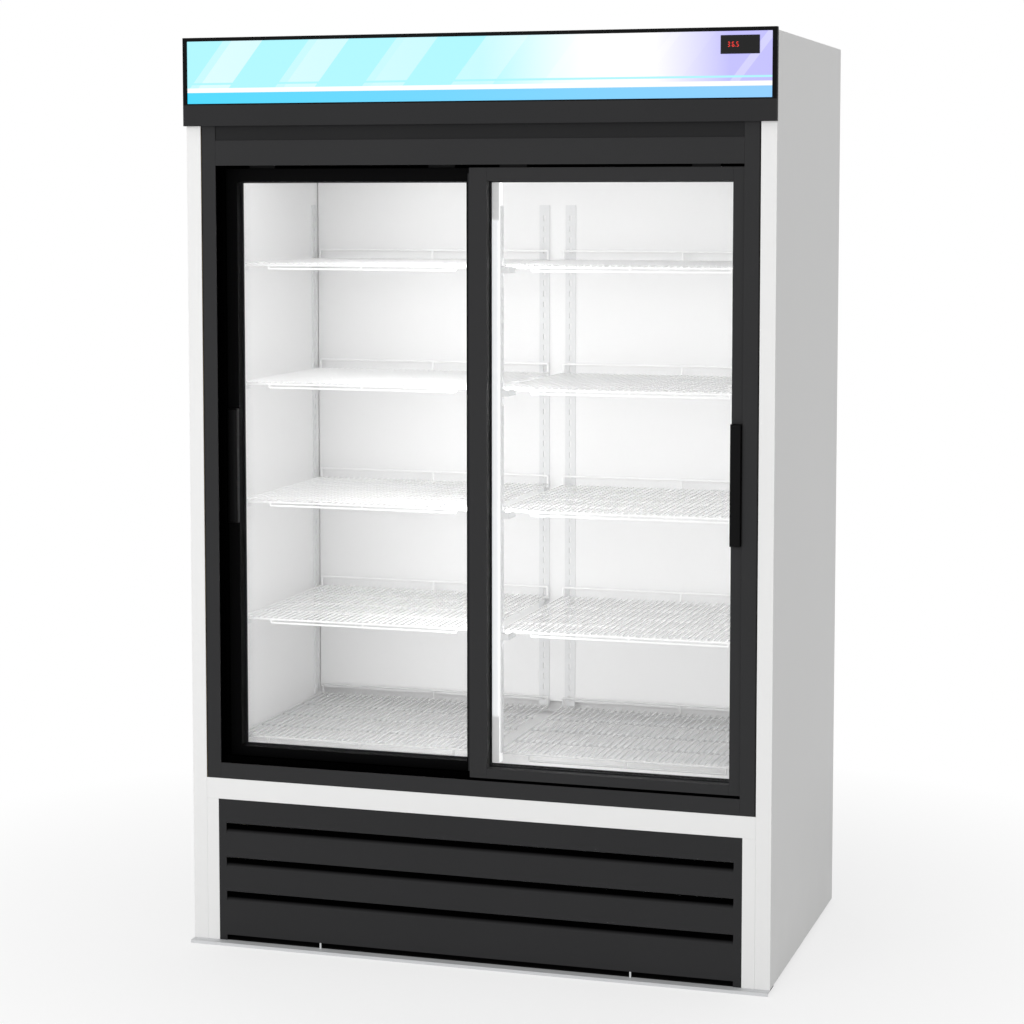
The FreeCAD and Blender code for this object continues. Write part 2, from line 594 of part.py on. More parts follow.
def make_door(side, word, lane):
    front = FACE + lane
    rear = front + S.door_depth
    middle = front + S.door_depth / 2
    depth = (front, rear)
    tall = (DOOR_LOW, DOOR_HIGH)
    outer = OPENING + S.jamb_tuck
    clear_in = S.stile_width - S.meeting_over
    clear_out = outer - S.stile_width
    glass_low = DOOR_LOW + S.bottom_rail
    glass_high = DOOR_HIGH - S.top_rail
    glass_front = front + S.glass_recess
    glass_rear = glass_front + S.pane * 2 + S.pane_gap
    bed = S.glass_bite + S.bite_clear

    stiles = [("meeting_stile", mirrored(side, -S.meeting_over, clear_in)),
              ("outer_stile", mirrored(side, clear_out, outer))]
    rails = [("bottom_member", (DOOR_LOW, glass_low)), ("top_member", (glass_high, DOOR_HIGH))]
    daylight = mirrored(side, clear_in, clear_out)
    members = [block(f"{word}_{name}", x, depth, tall) for name, x in stiles]
    members += [block(f"{word}_{name}", daylight, depth, z) for name, z in rails]
    trimmed = []
    for member in members:
        bedding = block("glass_bed", (daylight[0] - bed, daylight[1] + bed), (glass_front, glass_rear),
                        (glass_low - bed, glass_high + bed))
        slot = block("floor_slot", mirrored(side, -S.meeting_over, outer),
                     (middle - S.guide_slot / 2, middle + S.guide_slot / 2),
                     (DOOR_LOW, DOOR_LOW + S.guide_deep))
        trimmed.append(cut(f"{member.Name}_trimmed", member, [bedding, slot]))
    node(f"{word}_door_frame", group(f"{word}_door_members", trimmed))

    glass_x = (daylight[0] - S.glass_bite, daylight[1] + S.glass_bite)
    glass_z = (glass_low - S.glass_bite, glass_high + S.glass_bite)
    between = (glass_front + S.pane, glass_rear - S.pane)
    panes = [block(f"{word}_pane", glass_x, y, glass_z)
             for y in ((glass_front, between[0]), (between[1], glass_rear))]
    node(f"{word}_door_glass", group(f"{word}_panes", panes))
    inner = block("spacer_hole", (daylight[0] + S.spacer_sight, daylight[1] - S.spacer_sight), between,
                  (glass_low + S.spacer_sight, glass_high - S.spacer_sight))
    spacer = cut(f"{word}_spacer", block("spacer_whole", glass_x, between, glass_z), [inner])
    strip = block("edge_strip", mirrored(side, -S.meeting_over - S.edge_strip, -S.meeting_over),
                  (front + S.strip_inset, rear - S.strip_inset),
                  (DOOR_LOW + S.seal_inset, DOOR_HIGH - S.seal_inset))
    node(f"{word}_door_gasket", group(f"{word}_gaskets", [spacer, strip]))

    handle = doc.addObject("PartDesign::Body", f"{word}_pull")
    grip = mirrored(side, clear_out, clear_out + S.handle_width)
    ahead = front - S.handle_out
    section = [(grip[0], ahead), (grip[1], ahead), (grip[1], front), (grip[0], front)]
    sketch = outline(handle, f"{word}_grip_section", "XY_Plane", section)
    bar = pad(handle, f"{word}_grip", sketch, S.handle_length)
    round_front(handle, bar, f"{word}_grip_round", S.handle_round)
    node(f"{word}_door_handle", place(handle, 0, 0, S.handle_middle - S.handle_length / 2))

    hangers = []
    for end, near in (("a", -S.meeting_over + S.hanger_inset), ("b", outer - S.hanger_inset)):
        x = side * near
        across = (x - S.hanger_width / 2, x + S.hanger_width / 2)
        plate_front = middle - S.hanger_ahead
        plate_back = plate_front + S.hanger_sheet
        hub_end = middle + S.roller_width / 2 + S.running_clear
        plate = block("hanger_plate", across, (plate_front, plate_back), (DOOR_HIGH, AXLE + S.hanger_top))
        foot = block("hanger_foot", across, (plate_front, rear - S.hanger_ahead),
                     (DOOR_HIGH, DOOR_HIGH + S.hanger_sheet))
        axle = rod("hanger_axle", S.axle_radius, x, (plate_front, hub_end + S.axle_head_thick), AXLE)
        collar = rod("hanger_collar", S.axle_head, x,
                     (plate_back, middle - S.roller_width / 2 - S.running_clear), AXLE)
        cap = rod("hanger_cap", S.axle_head, x, (hub_end, hub_end + S.axle_head_thick), AXLE)
        hangers.append(fuse(f"{word}_hanger_{end}", [plate, foot, axle, collar, cap]))
        bore = S.axle_radius + S.bore_clear
        half = S.roller_width / 2
        rim = S.roller_radius
        wheel = turned(f"{word}_wheel_{end}", [(-half, bore), (half, bore), (half, rim - S.roller_edge),
                                               (half - S.roller_edge, rim), (S.roller_edge - half, rim),
                                               (-half, rim - S.roller_edge)])
        node(f"{word}_door_roller_{end}", place(wheel, x, middle, AXLE))
    node(f"{word}_door_hangers", group(f"{word}_hanger_pair", hangers))


def make_meeting_seal():
    reach = FACE + S.front_lane + S.door_depth + S.seal_clear
    near = S.meeting_over + S.edge_strip - S.seal_width - S.strip_inset
    node("meeting_seal", block("seal", (near, near + S.seal_width), (reach, FACE + REAR_LANE),
                               (DOOR_LOW + S.seal_inset, DOOR_HIGH - S.seal_inset)))


def make_header():
    wide = HALF + S.header_over
    front = FACE - S.header_out
    behind = front + S.sign_lip
    window_x = wide - S.sign_side
    window_z = (HEADER_BOTTOM + S.sign_bottom, HEADER_TOP - S.sign_top)
    whole = block("trim_whole", (-wide, wide), (front, FACE), (HEADER_BOTTOM, HEADER_TOP))
    window = block("trim_window", (-window_x, window_x), (front, FACE), window_z)
    held_x = window_x + S.sign_bite
    held_z = (window_z[0] - S.sign_bite, window_z[1] + S.sign_bite)
    rebate = block("trim_rebate", (-held_x, held_x), (behind, FACE), held_z)
    node("header_trim", cut("trim", cut("trim_open", whole, [window]), [rebate]))
    node("sign_panel", block("sign", (-held_x, held_x), (behind, behind + S.sign_sheet), held_z))
    rear = FACE + S.header_depth
    top = S.cabinet_height - S.skin
    box = block("housing_whole", (-FRAME, FRAME), (FACE, rear), (FRAME_TOP, top))
    room = block("housing_room", (-FRAME + S.skin, FRAME - S.skin), (FACE, rear - S.skin),
                 (FRAME_TOP + S.skin, top - S.skin))
    node("header_housing", cut("housing", box, [room]))
    case = doc.addObject("PartDesign::Body", "thermometer")
    right = window_x - S.thermo_right
    high = window_z[1] - S.thermo_top
    left = right - S.thermo_width
    low = high - S.thermo_height
    sketch = outline(case, "thermometer_section", "XZ_Plane",
                     [(left, low), (right, low), (right, high), (left, high)])
    body = pad(case, "thermometer_pad", sketch, S.thermo_depth)
    round_front(case, body, "thermometer_round", S.thermo_round)
    node("thermometer_case", place(case, 0, behind, 0))


def make_front_grille():
    body = doc.addObject("PartDesign::Body", "grille")
    low = S.toe_height
    high = GRILLE_TOP
    slot = high - S.grille_first
    clear = GRILLE - S.grille_side
    border = [(-GRILLE, low), (-clear, low), (-clear, slot), (clear, slot), (clear, low), (GRILLE, low),
              (GRILLE, high), (-GRILLE, high)]
    face = pad(body, "grille_face", outline(body, "grille_border", "XZ_Plane", border), S.grille_sheet)
    face.Reversed = True

    def blade(name, top, bottom):
        lean = S.grille_lean
        thick = S.grille_sheet
        bend = top - S.grille_bend
        section = [(0, bottom), (0, bend), (lean, top), (lean + thick, top), (thick, bend), (thick, bottom)]
        sketch = outline(body, f"{name}_section", "YZ_Plane", section)
        strip = pad(body, name, sketch, (clear + S.grille_side / 2) * 2)
        strip.SideType = "Symmetric"
        return strip, sketch

    top = slot - S.grille_slot
    upper, sketch = blade("grille_blade", top, slot - S.grille_pitch)
    repeat(body, "grille_blades", upper, sketch, S.grille_pitch * (LOUVRES - 1), LOUVRES, True)
    blade("grille_skirt", top - S.grille_pitch * LOUVRES, low + S.grille_foot)
    fold = high - S.grille_sheet
    edge = [(-GRILLE, fold), (GRILLE, fold), (GRILLE, high), (-GRILLE, high)]
    lip = pad(body, "grille_lip", outline(body, "grille_lip_section", "XZ_Plane", edge), S.grille_depth)
    lip.Reversed = True
    node("front_grille", place(body, 0, FACE, 0))


def wire_rack(length, depth, lip_drop):
    """A flat grid of wires with its corner at the origin and its top at zero, and a lower front wire."""
    thick = S.wire.value
    width = length.value
    reach = depth.value
    step = (width - thick) / (SHELF_WIRES - 1)
    bay = (reach - thick) / (SHELF_BARS - 1)

    def rectangle(x0, x1, y0, y1):
        corners = [(x0, y0), (x1, y0), (x1, y1), (x0, y1), (x0, y0)]
        return Part.makePolygon([FreeCAD.Vector(x, y, -thick) for x, y in corners])

    holes = [rectangle(i * step + thick, (i + 1) * step, j * bay + thick, (j + 1) * bay)
             for i in range(SHELF_WIRES - 1) for j in range(SHELF_BARS - 1)]
    face = Part.makeFace([rectangle(0, width, 0, reach)] + holes, "Part::FaceMakerBullseye")
    grid = face.extrude(FreeCAD.Vector(0, 0, thick))
    inset = S.lip_inset.value
    drop = lip_drop.value
    bar = Part.makeBox(width - 2 * inset, thick, thick, FreeCAD.Vector(inset, 0, -drop - thick))
    posts = [Part.makeBox(thick, thick, drop, FreeCAD.Vector(x, 0, -drop))
             for x in (inset, (width - thick) / 2, width - inset - thick)]
    return grid.multiFuse([bar] + posts).removeSplitter()


def stop_wire(length, height):
    """A bent wire that stands on the rear edge of a shelf, from the origin along X."""
    thick = S.wire.value
    top = height.value - thick
    bar = Part.makeBox(length.value, thick, thick, FreeCAD.Vector(0, 0, top))
    posts = [Part.makeBox(thick, thick, top, FreeCAD.Vector(x, 0, 0))
             for x in (0, (length.value - thick) / 2, length.value - thick)]
    return bar.multiFuse(posts).removeSplitter()


def make_shelves():
    length = LINER - S.shelf_side - S.shelf_middle
    rear = DUCT - S.shelf_rear
    for name, front, drop in (("shelf", MULLION_BACK + S.shelf_front, S.front_lip),
                              ("deck", MULLION_BACK + S.deck_front, S.deck_rise - S.wire)):
        rack = wire_rack(length, rear - front, drop)
        stop = stop_wire(length, S.back_stop)
        stop.translate(FreeCAD.Vector(0, (rear - front - S.wire).value, 0))
        pair = []
        for side in (-1, 1):
            span = mirrored(side, S.shelf_middle, LINER - S.shelf_side)
            for solid in (rack, stop):
                copy = solid.copy()
                copy.translate(FreeCAD.Vector(span[0].value, front.value, 0))
                pair.append(copy)
        if name == "deck":
            for copy in list(pair[::2]):
                box = copy.BoundBox
                foot = Part.makeBox(box.XLength, S.wire.value, drop.value,
                                    FreeCAD.Vector(box.XMin, box.YMax - S.wire.value, -S.deck_rise.value))
                pair[pair.index(copy)] = copy.fuse(foot).removeSplitter()
        levels = [("deck_shelves", DECK)] if name == "deck" else [
            (f"shelf_{i + 1}", TOP_SHELF - SHELF_PITCH * i) for i in range(SHELF_LEVELS)]
        for label, level in levels:
            rack_pair = doc.addObject("Part::Feature", f"{label}_pair")
            rack_pair.Shape = Part.makeCompound(pair)
            node(label, place(rack_pair, 0, 0, level))


def make_product_space():
    low = FLOOR + S.duct_bottom
    wide = LINER - S.duct_side
    panel = block("duct_face", (-wide, wide), (DUCT, DUCT + S.skin), (low, COOLER_LOW))
    edges = [block("duct_edge", mirrored(side, wide - S.skin, wide), (DUCT, LINER_BACK), (low, COOLER_LOW))
             for side in (-1, 1)]
    node("air_duct_panel", fuse("duct", [panel] + edges))
    half = S.mullion_width / 2
    depth = (MULLION_FRONT, MULLION_BACK)
    tall = (FLOOR, CEILING)
    post = block("mullion_whole", (-half, half), depth, tall)
    room = block("mullion_room", (S.mullion_sheet - half, half - S.mullion_sheet),
                 (MULLION_FRONT + S.mullion_sheet, MULLION_BACK), tall)
    node("center_mullion", cut("mullion", post, [room]))

    lens = S.lens_width / 2
    lamps = [block("centre_lamp", (-lens, lens), (MULLION_FRONT - S.lens_depth, MULLION_FRONT),
                   (FLOOR + S.lens_low, COOLER_LOW - S.lens_high))]
    for side in (-1, 1):
        lamps.append(block("side_lamp", mirrored(side, LINER - S.lamp_width, LINER),
                           (MULLION_FRONT, MULLION_FRONT + S.lamp_depth),
                           (FLOOR + S.lamp_end, COOLER_LOW - S.lamp_end)))
    rear = FACE + S.header_depth - S.skin
    level = (FRAME_TOP + S.cabinet_height) / 2
    lamps.append(block("sign_lamp", (-LINER, LINER), (rear - S.lamp_depth, rear),
                       (level - S.lamp_width / 2, level + S.lamp_width / 2)))
    node("led_lamps", group("lamps", lamps))

    tall = (FLOOR + S.standard_end, COOLER_LOW - S.standard_drop)
    front_y = (MULLION_FRONT + S.lamp_depth + S.standard_inset, MULLION_BACK - S.standard_inset)
    rear_y = (DUCT - S.standard_rear - S.standard_width, DUCT - S.standard_rear)
    middle_y = (DUCT - S.standard_depth, DUCT)
    near = S.standard_middle - S.standard_width / 2
    strips = []
    clips = []
    shelf_y = (MULLION_BACK + S.shelf_front, DUCT - S.shelf_rear)
    for side in (-1, 1):
        wall = mirrored(side, LINER - S.standard_depth, LINER)
        inner = mirrored(side, half, half + S.standard_depth)
        back = mirrored(side, near, near + S.standard_width)
        for x, y in ((wall, front_y), (wall, rear_y), (inner, front_y), (back, middle_y)):
            strips.append(block("standard", x, y, tall))
        outer_x = mirrored(side, LINER - S.shelf_side - S.clip_reach, LINER - S.standard_depth)
        inner_x = mirrored(side, half + S.standard_depth, half + S.standard_depth + S.clip_width)
        back_x = mirrored(side, S.standard_middle - S.clip_width / 2, S.standard_middle + S.clip_width / 2)
        front_reach = (front_y[1] - S.clip_width, shelf_y[0] + S.clip_reach)
        rear_middle = (rear_y[0] + rear_y[1]) / 2
        rear_reach = (rear_middle - S.clip_width / 2, rear_middle + S.clip_width / 2)
        seats = [(outer_x, front_reach), (outer_x, rear_reach), (inner_x, front_reach),
                 (back_x, (shelf_y[1] - S.clip_reach, middle_y[0]))]
        for i in range(SHELF_LEVELS):
            under = TOP_SHELF - SHELF_PITCH * i - S.wire
            clips += [block("shelf_clip", x, y, (under - S.clip_height, under)) for x, y in seats]
    node("shelf_standards", group("standards", strips))
    node("shelf_clips", group("clips", clips))


def make_fan(name, label, radius, x, y, z):
    """A bladed wheel on a shaft along Y, with its hub between the two planes in y."""
    length = y[1] - y[0]
    bore = S.shaft_radius + S.bore_clear
    hub = turned(f"{name}_hub", [(0, bore), (length, bore), (length, S.fan_hub), (0, S.fan_hub)])
    blades = [hub]
    for i in range(FAN_BLADES):
        blade = doc.addObject("Part::Box", f"{name}_blade")
        bind(blade, Length=radius - S.fan_hub, Width=S.fan_sheet, Height=S.fan_chord)
        spoke = FreeCAD.Rotation(FreeCAD.Vector(0, 1, 0), 360.0 * i / FAN_BLADES)
        lean = FreeCAD.Rotation(FreeCAD.Vector(1, 0, 0), 90.0 - FAN_ANGLE)
        turn = spoke.multiply(lean)
        root = turn.multVec(FreeCAD.Vector((S.fan_hub * FAN_ROOT_SHARE).value, (S.fan_sheet / -2).value,
                                           (S.fan_chord / -2).value))
        blade.Placement = FreeCAD.Placement(root + FreeCAD.Vector(0, (length / 2).value, 0), turn)
        blades.append(blade)
    return node(label, place(fuse(f"{name}_wheel", blades), x, y[0], z))


def make_cooling_unit():
    wide = (-COOLER_HALF, COOLER_HALF)
    level = (COOLER_LOW + CEILING) / 2
    whole = block("cooler_whole", wide, (COOLER_FRONT, LINER_BACK), (COOLER_LOW, CEILING))
    behind = COOLER_FRONT + S.skin
    room = block("cooler_room", (S.skin - COOLER_HALF, COOLER_HALF - S.skin), (behind, LINER_BACK),
                 (COOLER_LOW + S.skin, CEILING))
    holes = [rod("cooler_hole", S.fan_hole, side * S.fan_offset, (COOLER_FRONT, behind), level)
             for side in (-1, 1)]
    node("evaporator_cover", cut("cooler_cover", cut("cooler_shell", whole, [room]), holes))
    plane = behind + FAN_HALF + S.motor_gap
    hub = (plane - S.fan_depth / 2, plane + S.fan_depth / 2)
    motors = []
    for side, word in ((-1, "left"), (1, "right")):
        x = side * S.fan_offset
        make_fan(f"cooler_fan_{word}", f"evaporator_fan_{word}", S.fan_radius, x, hub, level)
        front = plane + FAN_HALF + S.motor_gap
        rear = front + S.motor_depth
        can = rod("motor_can", S.motor_radius, x, (front, rear), level)
        shaft = rod("motor_shaft", S.shaft_radius, x, (hub[0], front + S.motor_gap), level)
        collar = rod("motor_collar", S.shaft_radius * 2, x,
                     (hub[1] + S.running_clear, front + S.motor_gap), level)
        half = S.motor_bracket / 2
        arm = block("motor_arm", (x - half, x + half), (rear - S.motor_bracket, rear), (level, CEILING))
        motors.append(fuse(f"motor_{word}", [can, shaft, collar, arm]))
    node("evaporator_fan_motors", group("cooler_motors", motors))
    side = COOLER_HALF - S.coil_side
    depth = (LINER_BACK - S.coil_rear - S.coil_depth, LINER_BACK - S.coil_rear)
    fins = block("coil_fins", (-side, side), depth, (level - S.coil_height / 2, level + S.coil_height / 2))
    plates = [block("coil_plate", mirrored(end, side, side + S.end_plate), depth,
                    (level - S.coil_height / 2, CEILING)) for end in (-1, 1)]
    node("evaporator_coil", fuse("coil", [fins] + plates))


def make_pipe(points):
    """A round copper line through the corners in points, with equal bends."""
    bend = S.pipe_bend.value
    edges = []
    start = points[0]
    for i in range(1, len(points) - 1):
        into = (points[i] - points[i - 1]).normalize()
        out = (points[i + 1] - points[i]).normalize()
        half = into.getAngle(out) / 2
        reach = bend * math.tan(half)
        first = points[i] - into * reach
        last = points[i] + out * reach
        inward = (out - into).normalize()
        centre = points[i] + inward * (bend / math.cos(half))
        edges.append(Part.LineSegment(start, first).toShape())
        edges.append(Part.Arc(first, centre - inward * bend, last).toShape())
        start = last
    edges.append(Part.LineSegment(start, points[-1]).toShape())
    path = Part.Wire(edges)
    ring = Part.Wire(Part.makeCircle(S.pipe_radius.value, points[0], points[1] - points[0]))
    return path.makePipeShell([ring], True, False)


def make_machine():
    low = BASE
    left = S.condenser_left
    right = left + S.condenser_width
    front = FACE + S.condenser_front
    behind = front + S.condenser_depth
    tall = (low, low + S.condenser_height)
    node("condenser_coil", block("condenser", (left, right), (front, behind), tall))
    x = (left + right) / 2
    z = low + S.condenser_height / 2
    rear = behind + S.shroud_depth
    whole = block("shroud_whole", (left, right), (behind, rear), tall)
    room = block("shroud_room", (left + S.skin, right - S.skin), (behind, rear - S.skin),
                 (low + S.skin, tall[1] - S.skin))
    hole = rod("shroud_hole", S.shroud_hole, x, (behind, rear), z)
    node("condenser_shroud", cut("shroud", cut("shroud_shell", whole, [room]), [hole]))
    hub = (rear - S.fan_depth / 2, rear + S.fan_depth / 2)
    make_fan("cooling_fan", "condenser_fan", S.cooling_fan, x, hub, z)
    motor_front = rear + FAN_HALF + S.motor_gap
    motor_rear = motor_front + S.cooling_motor_depth
    can = rod("cooling_can", S.cooling_motor, x, (motor_front, motor_rear), z)
    shaft = rod("cooling_shaft", S.shaft_radius, x, (hub[0], motor_front + S.motor_gap), z)
    collar = rod("cooling_collar", S.shaft_radius * 2, x,
                 (hub[1] + S.running_clear, motor_front + S.motor_gap), z)
    half = S.motor_bracket / 2
    arm = block("cooling_arm", (x - half, x + half), (motor_rear - S.motor_bracket, motor_rear), (low, z))
    node("condenser_fan_motor", fuse("cooling_motor_unit", [can, shaft, collar, arm]))

    radius = S.compressor_radius
    height = S.compressor_height
    profile = [(height * up, radius * out) for up, out in COMPRESSOR_SHARES]
    shell = turned("compressor_shell", [(0, 0)] + profile + [(height, 0)])
    px = S.compressor_side - HALF
    py = BACK - S.compressor_rear
    place(shell, px, py, low + S.end_plate, UPRIGHT)
    foot = block("compressor_plate", (px - S.compressor_foot / 2, px + S.compressor_foot / 2),
                 (py - S.compressor_foot / 3, py + S.compressor_foot / 3), (low, low + S.end_plate))
    node("compressor", fuse("compressor_unit", [shell, foot]))

    far = BACK - S.pan_rear
    tray = block("tray_whole", (left, left + S.pan_width), (far - S.pan_depth, far),
                 (low, low + S.pan_height))
    inside = block("tray_room", (left + S.pan_sheet, left + S.pan_width - S.pan_sheet),
                   (far - S.pan_depth + S.pan_sheet, far - S.pan_sheet),
                   (low + S.pan_sheet, low + S.pan_height))
    node("condensate_pan", cut("tray", tray, [inside]))
    edge = INNER - S.base_sheet
    box_front = FACE + S.box_front
    node("control_box", block("controls", (-edge, S.box_width - edge), (box_front, box_front + S.box_depth),
                              (low, low + S.box_height)))

    top = (low + S.end_plate + height).value
    roof = FLOOR_UNDER.value
    lines = doc.addObject("Part::Feature", "copper_lines")
    at = FreeCAD.Vector
    cx = px.value
    cy = py.value
    gap = S.pipe_radius.value * 2
    across = front.value + S.condenser_depth.value / 2
    above = tall[1].value - gap
    hot = [at(cx + gap, cy, top), at(cx + gap, cy, above), at(cx + gap, across, above),
           at((left - S.running_clear).value, across, above)]
    suction = Part.makeCylinder(S.pipe_radius.value, roof - top, at(cx - gap, cy, top))
    lines.Shape = Part.makeCompound([make_pipe(hot), suction])
    node("refrigerant_lines", lines)


def make_rear():
    body = doc.addObject("PartDesign::Body", "vents")
    sheet_section = [(-INNER, BASE), (INNER, BASE), (INNER, FLOOR_UNDER), (-INNER, FLOOR_UNDER)]
    pad(body, "vent_sheet", outline(body, "vent_outline", "XZ_Plane", sheet_section), S.skin)
    for side, word in ((-1, "left"), (1, "right")):
        slot_x = mirrored(side, S.vent_slot, S.vent_slot + S.vent_length)
        low = BASE + S.vent_first
        high = low + S.vent_slot
        section = [(slot_x[0], low), (slot_x[1], low), (slot_x[1], high), (slot_x[0], high)]
        sketch = outline(body, f"vent_{word}_section", "XZ_Plane", section)
        slot = pocket(body, f"vent_{word}", sketch, S.skin, True)
        repeat(body, f"vents_{word}", slot, sketch, S.vent_pitch * (VENT_ROWS - 1), VENT_ROWS, False)
    node("rear_grille", place(body, 0, BACK, 0))
    gland = turned("gland", [(0, S.gland_bore), (0, S.gland_flange), (S.gland_sheet, S.gland_flange),
                             (S.gland_sheet, S.gland_radius), (S.gland_out, S.gland_tip),
                             (S.gland_out, S.gland_bore)])
    node("cord_inlet", place(gland, S.gland_side - HALF, BACK, BASE + S.gland_level))
    heads = []
    high = S.cabinet_height - S.skin
    for i in range(REAR_SCREWS):
        share = i / (REAR_SCREWS - 1)
        x = (INNER - S.screw_inset) * (2 * share - 1)
        for z in (BASE + S.screw_inset, FLOOR_UNDER - S.screw_inset, FLOOR_UNDER + S.screw_inset,
                  high - S.screw_inset):
            heads.append(rod("screw", S.screw_radius, x, (BACK, BACK + S.screw_head), z))
    node("panel_screws", group("screws", heads))


def check_and_write():
    doc.recompute()
    for thing in doc.Objects:
        if "Invalid" in thing.State or "Error" in thing.State:
            raise RuntimeError(f"{thing.Label} failed: {thing.State}")
    os.makedirs("parts", exist_ok=True)
    for label, piece in pieces.items():
        shape = piece.Shape
        if shape.isNull() or not shape.isValid() or not shape.Solids:
            raise RuntimeError(f"{label} has no valid solid")
    for label, piece in pieces.items():
        piece.Shape.exportStep(os.path.join("parts", f"{label}.step"))
    print(f"wrote {len(pieces)} sub-parts")


make_shell()
make_liner()
make_base()
make_door_frame()
make_door(-1, "left", REAR_LANE)
make_door(1, "right", S.front_lane)
make_meeting_seal()
make_header()
make_front_grille()
make_product_space()
make_shelves()
make_cooling_unit()
make_machine()
make_rear()
check_and_write()
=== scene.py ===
import json
import math

import bmesh
import bpy
from bpy.props import FloatProperty, FloatVectorProperty, IntProperty, PointerProperty
from mathutils import Matrix, Vector

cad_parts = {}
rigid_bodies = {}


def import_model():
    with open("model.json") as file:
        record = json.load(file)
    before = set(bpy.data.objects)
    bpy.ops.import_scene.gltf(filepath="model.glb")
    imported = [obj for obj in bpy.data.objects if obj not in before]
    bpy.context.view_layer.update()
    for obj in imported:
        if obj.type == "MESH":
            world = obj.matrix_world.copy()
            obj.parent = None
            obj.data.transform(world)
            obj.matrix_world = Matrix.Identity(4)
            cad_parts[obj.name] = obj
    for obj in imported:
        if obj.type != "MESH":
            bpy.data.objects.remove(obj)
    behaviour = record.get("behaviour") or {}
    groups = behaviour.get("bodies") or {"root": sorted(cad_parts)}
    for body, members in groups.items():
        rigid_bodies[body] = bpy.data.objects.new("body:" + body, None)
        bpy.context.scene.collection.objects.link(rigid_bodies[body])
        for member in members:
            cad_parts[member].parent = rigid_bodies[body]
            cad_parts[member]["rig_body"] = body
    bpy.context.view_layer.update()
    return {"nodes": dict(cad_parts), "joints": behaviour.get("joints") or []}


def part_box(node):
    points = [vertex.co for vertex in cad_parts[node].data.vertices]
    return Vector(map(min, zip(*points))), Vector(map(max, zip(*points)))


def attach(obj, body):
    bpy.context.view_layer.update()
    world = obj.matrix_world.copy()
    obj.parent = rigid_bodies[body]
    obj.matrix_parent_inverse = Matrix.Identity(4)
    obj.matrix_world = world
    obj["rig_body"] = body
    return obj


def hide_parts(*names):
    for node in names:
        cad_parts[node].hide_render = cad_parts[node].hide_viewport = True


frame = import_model()

bl_info = {
    "name": "Sliding-door merchandiser",
    "version": (1, 0, 0),
    "blender": (4, 5, 0),
    "location": "View3D > Sidebar > Merchandiser",
    "description": "Finishes, wire shelves, lit sign, fans and studio for a glass-door refrigerator",
    "category": "Object",
}

ROLLERS = ("left_door_roller_a", "left_door_roller_b", "right_door_roller_a", "right_door_roller_b")
# The deck racks take a darker copy of the wire coat, as painted shade.
RACKS = {"wire": ("shelf_1", "shelf_2", "shelf_3", "shelf_4"), "deck": ("deck_shelves",)}
SEGMENTS = {"3": "abgcd", "5": "afgcd", "6": "afgedc"}
SOCKETS = {int: "NodeSocketInt", float: "NodeSocketFloat", tuple: "NodeSocketVector"}
WHITE = (1.0, 1.0, 1.0, 1.0)
ORIGIN = (0.0, 0.0, 0.0)
QUARTER = math.radians(90)
FLAT = math.radians(0.5)
SHARP = math.radians(50)
WELD = 1e-6


def number(name, description, default, unit="NONE"):
    return FloatProperty(name=name, description=description, default=default, unit=unit, precision=5)


def length(name, description, default):
    return number(name, description, default, "LENGTH")


def count(name, description, default, least):
    return IntProperty(name=name, description=description, default=default, min=least)


def hue(name, description, default):
    return FloatVectorProperty(name=name, description=description, default=default, subtype="COLOR",
                               min=0.0, max=1.0)


class MerchandiserSizes(bpy.types.PropertyGroup):
    """Sizes of the pieces that are made here, in metres."""

    edge: length("Edge round", "Rounding of folded sheet and extruded profiles", 0.0009)
    wire: length("Wire radius", "Shelf wires from front to back", 0.0020)
    bar: length("Bar radius", "Shelf bars under the wires", 0.0024)
    wires: count("Wires", "Wires on one shelf", 41, 3)
    bars: count("Bars", "Bars under one shelf", 5, 2)
    lip_inset: length("Lip inset", "Front wire from the shelf ends", 0.070)
    stop: length("Back stop", "Height of the rear wire above the shelf", 0.022)
    slot_pitch: length("Slot pitch", "Spacing of the slots in a shelf standard", 0.0254)
    slot_high: length("Slot height", "Height of a slot in a shelf standard", 0.013)
    slot_wide: length("Slot width", "Width of a slot in a shelf standard", 0.005)
    fin_pitch: length("Fin pitch", "Spacing of the coil fins", 0.0055)
    fin: length("Fin thickness", "Thickness of a coil fin", 0.0008)
    tube: length("Tube radius", "Coil tube", 0.0048)
    guard: length("Guard radius", "Outermost ring of a fan guard", 0.082)
    guard_wire: length("Guard wire", "Fan guard wire radius", 0.0013)
    guard_rings: count("Guard rings", "Rings of a fan guard", 7, 2)
    blades: count("Blades", "Blades of a fan", 5, 3)
    blade: length("Blade thickness", "Thickness of a fan blade", 0.0016)
    hub: length("Hub radius", "Hub of a fan", 0.020)
    hub_half: length("Hub half depth", "Half of the depth of a fan hub", 0.012)
    bore: length("Bore radius", "Shaft bore of a fan", 0.00405)
    evaporator_tip: length("Evaporator fan radius", "Blade tips of the evaporator fans", 0.073)
    condenser_tip: length("Condenser fan radius", "Blade tips of the condenser fan", 0.113)
    digit_high: length("Digit height", "Digits on the thermometer", 0.0105)


